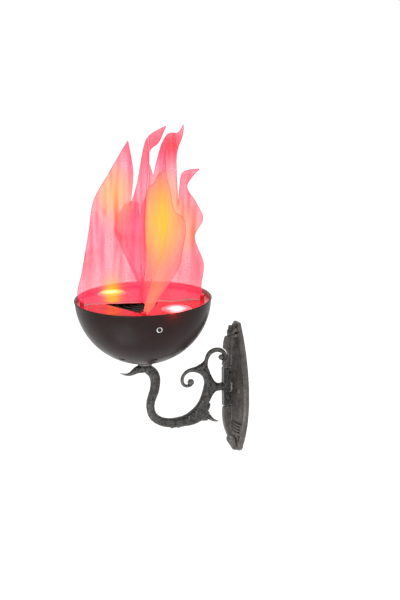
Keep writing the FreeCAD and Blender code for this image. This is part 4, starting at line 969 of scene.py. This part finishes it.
            # Painted lamp light, and below 0 painted shade, summed from the hot spots.
            total = sum(spot.at(along, height) for spot in self.hot_spots)
            painted_light_and_shade.data[number].value = max(-1.0, min(1.0, total))
            slant.data[number].value = self.stretch(along, height) - 1.0
        laid = mesh.uv_layers.new(name="cloth")
        for loop in mesh.loops:
            laid.data[loop.index].uv = flat[used[loop.vertex_index]] * MM
        mesh.shade_smooth()
        mesh.materials.append(self.finish.value.material())
        self.hem(mesh)
        sheet = new_object(f"{self.name}_flat", mesh)
        body = sheet.modifiers.new("thickness", "SOLIDIFY")
        body.thickness = self.thick * MM
        body.offset = 0.0
        sheet = plain_mesh(sheet, self.name)
        places = range(-100, 101, 4)
        fullness = sum(self.stretch(one, self.fullness_height) for one in places) / len(places)
        area = abs(sum(a.x * b.y - b.x * a.y for a, b in zip(rim, rim[1:] + rim[:1]))) / 2
        area *= fullness * MM * MM
        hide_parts(self.node)
        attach(sheet, ROOT_BODY)
        log.info("%s: %d faces, %.2f times as full as it is wide, cut area %.3f m2", sheet.name,
                 len(sheet.data.polygons), fullness, area)
        return sheet

    def stretch(self, along: float, height: float) -> float:
        """How much longer the cloth is than its plane, because of its folds.

        Args:
            along: The place along the sheet.
            height: The height.

        Returns:
            The ratio, 1 where the cloth is flat.
        """
        level = self.level_at(height)
        rise = self.offset(along + 1.0, height, level) - self.offset(along - 1.0, height, level)
        return math.hypot(1.0, rise / 2.0)

    def hem(self, mesh: bpy.types.Mesh) -> bpy.types.Object:
        """Roll and stitch the cut edge.

        Args:
            mesh: The sheet before it gets its thickness.

        Returns:
            The hem's object.
        """
        work = bmesh.new()
        work.from_mesh(mesh)
        bmesh.ops.delete(work, geom=[one for one in work.edges if not one.is_boundary],
                         context="EDGES_FACES")
        bmesh.ops.delete(work, geom=[one for one in work.verts if not one.link_edges],
                         context="VERTS")
        edge = bpy.data.meshes.new(f"{self.name}_edge")
        work.to_mesh(edge)
        work.free()
        rolled = run_tree(new_object(f"{self.name}_edge", edge), rolled_hem_tree(),
                          f"{self.name}_hem", {
                              "Hem Radius": self.hem_radius * MM,
                              "Stitch Length": self.stitch_length * MM,
                              "Stitch Pitch": self.stitch_pitch * MM, "Seed": self.stitch_seed})
        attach(rolled, ROOT_BODY)
        return rolled


def inside(ring: list[Vector], here: Vector) -> bool:
    """Tell whether a flat point lies inside a closed ring of flat points.

    Args:
        ring: The ring's points in order.
        here: The point.

    Returns:
        True if it does.
    """
    found = False
    for a, b in zip(ring, ring[1:] + ring[:1]):
        if (a.y > here.y) != (b.y > here.y):
            if here.x < a.x + (here.y - a.y) * (b.x - a.x) / (b.y - a.y):
                found = not found
    return found


def rolled_hem_tree() -> Tree:
    """The tree that turns a cut edge to a rolled hem with stitches over it.

    Returns:
        A tree with inputs Hem Radius, Stitch Length, Stitch Pitch and Seed.
    """
    made = bpy.data.node_groups.get("rolled_hem")
    if made is not None:
        return made
    made = new_tree("rolled_hem", {
        "Hem Radius": 0.0005, "Stitch Length": 0.002, "Stitch Pitch": 0.005, "Seed": 7})
    given = add_node(made, "NodeGroupInput").outputs
    path = add_node(made, "GeometryNodeMeshToCurve", inputs={0: given["Geometry"]})
    ring = add_node(made, "GeometryNodeCurvePrimitiveCircle", inputs={
        "Resolution": 6, "Radius": given["Hem Radius"]})
    roll = add_node(made, "GeometryNodeCurveToMesh", inputs={
        "Curve": path, "Profile Curve": ring, "Fill Caps": True})
    smooth = add_node(made, "GeometryNodeSetShadeSmooth", inputs={
        "Geometry": roll, "Shade Smooth": True})
    hem = add_node(made, "GeometryNodeSetMaterial", inputs={
        "Geometry": smooth, "Material": Finishes.HEM.value.material()})
    marks = add_node(made, "GeometryNodeCurveToPoints", {"mode": "LENGTH"}, {
        "Curve": path, "Length": given["Stitch Pitch"]}).outputs
    thread = add_node(made, "ShaderNodeMath", {"operation": "MULTIPLY"}, {
        0: given["Stitch Length"], 1: 0.12})
    stitch = add_node(made, "GeometryNodeMeshCylinder", inputs={
        "Vertices": 5, "Radius": thread, "Depth": given["Stitch Length"]})
    lean = add_node(made, "FunctionNodeRandomValue", {"data_type": "FLOAT_VECTOR"}, {
        0: (-0.3, 0.9, -0.3), 1: (0.3, 1.3, 0.3), "Seed": given["Seed"]})
    turned = add_node(made, "FunctionNodeRotateRotation", {"rotation_space": "LOCAL"}, {
        "Rotation": marks["Rotation"], "Rotate By": lean})
    sewn = add_node(made, "GeometryNodeInstanceOnPoints", inputs={
        "Points": marks["Points"], "Instance": stitch, "Rotation": turned})
    solid = add_node(made, "GeometryNodeRealizeInstances", inputs={"Geometry": sewn})
    sewing = add_node(made, "GeometryNodeSetMaterial", inputs={
        "Geometry": solid, "Material": Finishes.THREAD.value.material()})
    both = add_node(made, "GeometryNodeJoinGeometry", inputs={0: hem})
    made.links.new(sewing.outputs[0], both.inputs[0])
    add_node(made, "NodeGroupOutput", inputs={0: both})
    return made


MAIN_EDGES = [
    [(-134, -6), (-142, 20), (-130, 69), (-112, 150), (-99, 215), (-70, 269), (-21, 343)],
    [(-21, 343), (-13, 277), (-21, 203)],
    [(-21, 203), (-5, 256), (10, 325), (24, 352), (60, 372)],
    [(60, 372), (44, 338), (26, 322), (23, 295), (31, 265)],
    [(31, 265), (40, 305), (52, 340), (66, 357), (85, 357), (98, 373)],
    [(98, 373), (95, 350), (82, 318), (79, 280), (82, 201)],
    [(82, 201), (86, 240), (94, 272), (128, 281)],
    [(128, 281), (103, 243), (120, 208), (134, 172), (116, 132), (133, 75), (128, 28), (130, -6)],
    [(130, -6), (-134, -6)],
]
CROSS_EDGES = [
    [(-126, -6), (-131, 25), (-116, 70), (-84, 130), (-64, 210), (-40, 280), (-22, 332)],
    [(-22, 332), (-8, 270), (4, 215), (14, 176)],
    [(14, 176), (30, 194), (56, 206)],
    [(56, 206), (78, 150), (108, 70), (132, 26), (130, -6)],
    [(130, -6), (-126, -6)],
]
MAIN_LEVELS = [Level(*one) for one in (
    (-12, 0, 3, 0), (60, -6, 8, 0), (180, 4, 11, 0), (300, -5, 8, 0), (380, 4, 5, 0))]
CROSS_LEVELS = [Level(*one) for one in (
    (-12, 0, 3, 0), (40, -3, 6, 12), (85, -8, 9, 26), (115, -11, 10, 34), (150, -14, 11, 40),
    (220, -18, 10, 42), (320, -22, 7, 40), (380, -22, 5, 40))]
# Patches of painted lamp light on the cloth, and below 0 of painted shade: along, height, wide, tall,
# strength.
MAIN_SPOTS = [HotSpot(*one) for one in (
    (-54, 235, 36, 58, 0.62), (-66, 14, 17, 34, 1.3), (54, 185, 28, 90, 0.9),
    (100, 140, 26, 60, 0.5), (66, 332, 34, 38, -1.0), (4, 190, 13, 90, -0.3),
    (-112, 90, 22, 24, -0.25), (14, 320, 22, 60, -0.45), (100, 262, 18, 34, -0.35),
    (-24, 330, 18, 34, -0.4), (118, 60, 26, 70, -0.3))]
CROSS_SPOTS = [HotSpot(*one) for one in (
    (-52, 165, 55, 100, 1.0), (-30, 318, 40, 34, -0.9), (-108, 15, 36, 60, 0.35),
    (70, 110, 45, 80, 0.3))]
MAIN_CREASES = [Crease((-88, 200), (-35, 135)), Crease((-128, 92), (-100, 108)),
                Crease((-60, 60), (-48, 120), 2.0)]
CROSS_CREASES = [Crease((-80, 60), (-60, 150), 2.0)]


@dataclass
class Flame:
    """The two crossed sheets over the bowl."""

    centre: Vector
    aside: tuple[float, float, float] = (5.0, -1.5, 0.0)
    slit_height: float = 120.0
    base: float = -12.0
    top: float = 390.0

    def build(self) -> list[bpy.types.Object]:
        """Make both sheets.

        Returns:
            Them.
        """
        middle = self.centre + Vector(self.aside) * MM
        main = SilkSheet("silk_flame_main", "silk_main", 74.7, 9, MAIN_EDGES, MAIN_LEVELS,
                         MAIN_SPOTS, MAIN_CREASES, middle, Finishes.SILK)
        cross = SilkSheet("silk_flame_cross", "silk_cross", 161.5, 7, CROSS_EDGES, CROSS_LEVELS,
                          CROSS_SPOTS, CROSS_CREASES, middle, Finishes.SILK_LIGHT)
        return [main.build(cross, self.slit_height, self.top),
                cross.build(main, self.base, self.slit_height)]


# ---- lamps, film and the rest

@dataclass
class LightDeck:
    """Everything at the bowl's mouth: film, lamps, fan and what carries them."""

    front_strength: float = 2.2
    rear_strength: float = 3.0
    amber_strength: float = 10.0

    def dress(self) -> None:
        """Put each node's finish on it."""
        for node, label, core, edge, strength in (
                ("front_lamp_glass", "front_lamp_glass_lit", "#ffffff", "#f0404c",
                 self.front_strength),
                ("rear_lamp_glass", "rear_lamp_glass_lit", "#ffffc0", "#d87018",
                 self.rear_strength),
                # The amber film is no lamp: its glow is painted light from the rear lamp under it.
                ("amber_filter", "amber_lighting_film_lit", "#ffffb0", "#c85a10",
                 self.amber_strength)):
            low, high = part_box(node)
            middle = (low + high) / 2
            finish_node(node, LitGlass(label, (middle.x, middle.y), core, edge,
                                       (high.x - low.x) / 2 / MM, strength))
        for nodes, finish in (
                (("front_lamp_bezel", "rear_lamp_bezel", "bowl_screw_washers"), Finishes.CHROME),
                (("front_lamp_reflector", "rear_lamp_reflector"), Finishes.MIRROR),
                (("front_lamp_socket", "rear_lamp_socket"), Finishes.CERAMIC),
                (("mouth_film",), Finishes.RED_FILM),
                (("deck", "fan_guard", "fan_screws"), Finishes.BLACK_SHEET),
                (("fan_frame", "fan_rotor", "driver_case", "cable_gland", "gland_nut"),
                 Finishes.BLACK_PLASTIC),
                (("terminal_block",), Finishes.WHITE_PLASTIC),
                (("seat_gasket",), Finishes.RUBBER),
                (("silk_clips",), Finishes.RED_LACQUER),
                (("bowl_screws", "plate_screws"), Finishes.DARK_SCREW)):
            for node in nodes:
                finish_node(node, finish.value)


def dress_the_rest(done: set[str]) -> None:
    """Give every other small steel piece its zinc plate.

    Args:
        done: The nodes that have a finish of their own.
    """
    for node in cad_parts:
        if node not in done:
            finish_node(node, Finishes.ZINC.value)


# ---- studio

@dataclass
class Studio:
    """Floor, lamps and camera."""

    centre: Vector
    azimuth: float = 68.0
    elevation: float = 15.0
    roll: float = 1.0
    focal_px: float = 1000.0
    bowl_px: float = 136.5
    rim_px: tuple[float, float] = (143.0, 297.5)
    bowl_width: float = 0.300
    floor_height: float = -0.9
    sensor: float = 36.0
    lamp_rise: float = 0.022
    spill: tuple[float, float, float] = (0.162, 0.016, 0.0)
    floor_side: float = 40.0

    def camera(self) -> None:
        """Place the camera so that the bowl's rim falls where the picture has it."""
        turn, rise = math.radians(self.azimuth), math.radians(self.elevation)
        back = Vector((math.sin(turn) * math.cos(rise), -math.cos(turn) * math.cos(rise),
                       math.sin(rise)))
        right = (-back).cross(Vector((0, 0, 1))).normalized()
        up = right.cross(-back)
        lean = math.radians(self.roll)
        right, up = (right * math.cos(lean) - up * math.sin(lean),
                     up * math.cos(lean) + right * math.sin(lean))
        away = self.bowl_width * self.focal_px / self.bowl_px
        aside = (self.rim_px[0] - IMAGE_WIDTH / 2) / self.focal_px
        below = (self.rim_px[1] - IMAGE_HEIGHT / 2) / self.focal_px
        place = self.centre - away * (-back + right * aside - up * below)
        lens = bpy.data.cameras.new("view")
        lens.sensor_width = self.sensor
        lens.lens = self.focal_px / IMAGE_HEIGHT * self.sensor
        made = new_object("view", lens)
        made.matrix_world = Matrix((right, up, back)).transposed().to_4x4()
        made.location = place
        bpy.context.scene.camera = made

    def light(self, kind: str, name: str, place: Vector, size: float, power: float,
              colour: str = "#ffffff") -> None:
        """A lamp that faces the bowl and isn't seen itself.

        Args:
            kind: AREA for a square one, POINT for a small round one.
            name: Its name.
            place: Where it is.
            size: Its side or its radius.
            power: Its power in watts.
            colour: Its colour.
        """
        light = bpy.data.lights.new(name, kind)
        setattr(light, "size" if kind == "AREA" else "shadow_soft_size", size)
        light.energy = power
        light.color = linear(colour)[:3]
        made = new_object(name, light)
        made.location = place
        made.rotation_mode = "QUATERNION"
        made.rotation_quaternion = (self.centre - place).to_track_quat("-Z", "Y")
        made.visible_camera = False

    def floor(self) -> None:
        """A wide plain floor far under the light."""
        side, z = self.floor_side, self.floor_height
        mesh = bpy.data.meshes.new("floor")
        mesh.from_pydata([(-side, -side, z), (side, -side, z), (side, side, z), (-side, side, z)],
                         [], [(0, 1, 2, 3)])
        paint = bpy.data.materials.new("white_paper_floor")
        paint.use_nodes = True
        shader = paint.node_tree.nodes["Principled BSDF"]
        for name, value in (("Base Color", linear("#fbfbfb")), ("Roughness", 0.9),
                            ("Specular IOR Level", 0.0), ("Emission Color", linear("#ffffff")),
                            ("Emission Strength", 0.12)):
            shader.inputs[name].default_value = value
        mesh.materials.append(paint)
        new_object("floor", mesh)

    def build(self) -> None:
        """Set up the whole studio."""
        world = bpy.data.worlds.new("white_room")
        world.use_nodes = True
        light = world.node_tree.nodes["Background"].inputs
        light["Color"].default_value = (1, 1, 1, 1)
        light["Strength"].default_value = 1.0
        bpy.context.scene.world = world
        bpy.context.scene.view_settings.view_transform = "Standard"
        self.floor()
        for name, aside, size, power in (("key", (1.2, -1.6, 1.4), 1.0, 34.0),
                                         ("fill", (2.2, 0.9, 0.6), 1.4, 10.0),
                                         ("low_front", (0.42, -0.62, -0.80), 0.6, 3.2)):
            self.light("AREA", name, self.centre + Vector(aside), size, power)
        for lamp, power, colour in (("front_lamp", 0.08, "#ff5a60"), ("rear_lamp", 0.015, "#ff6028")):
            low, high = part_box(f"{lamp}_glass")
            place = (low + high) / 2 + Vector((0.0, 0.0, self.lamp_rise))
            self.light("POINT", f"{lamp}_light", place, 0.02, power, colour)
        self.light("POINT", "lamp_spill", self.centre + Vector(self.spill), 0.006, 0.12, "#ff1418")
        self.camera()


def main() -> None:
    """Build every sub-assembly in order and report each."""
    logging.basicConfig(level=logging.INFO, format="%(name)s %(message)s")
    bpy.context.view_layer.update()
    low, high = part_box("bowl")
    centre = Vector(((low.x + high.x) / 2, (low.y + high.y) / 2, high.z))
    CastSkin("arm", Finishes.CAST).build()
    CastSkin("wall_plate", Finishes.CAST_PLATE, voxel_mm=1.3, facet_depth_mm=0.3).build()
    dress_the_rest({"bowl"})
    finish_node("bowl", SpunSteelPaint(axis_y=centre.y, rim_z=centre.z))
    LightDeck().dress()
    log.info("deck and bowl dressed")
    Flame(centre).build()
    Studio(centre).build()
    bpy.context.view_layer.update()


if __name__ == "__main__":
    main()
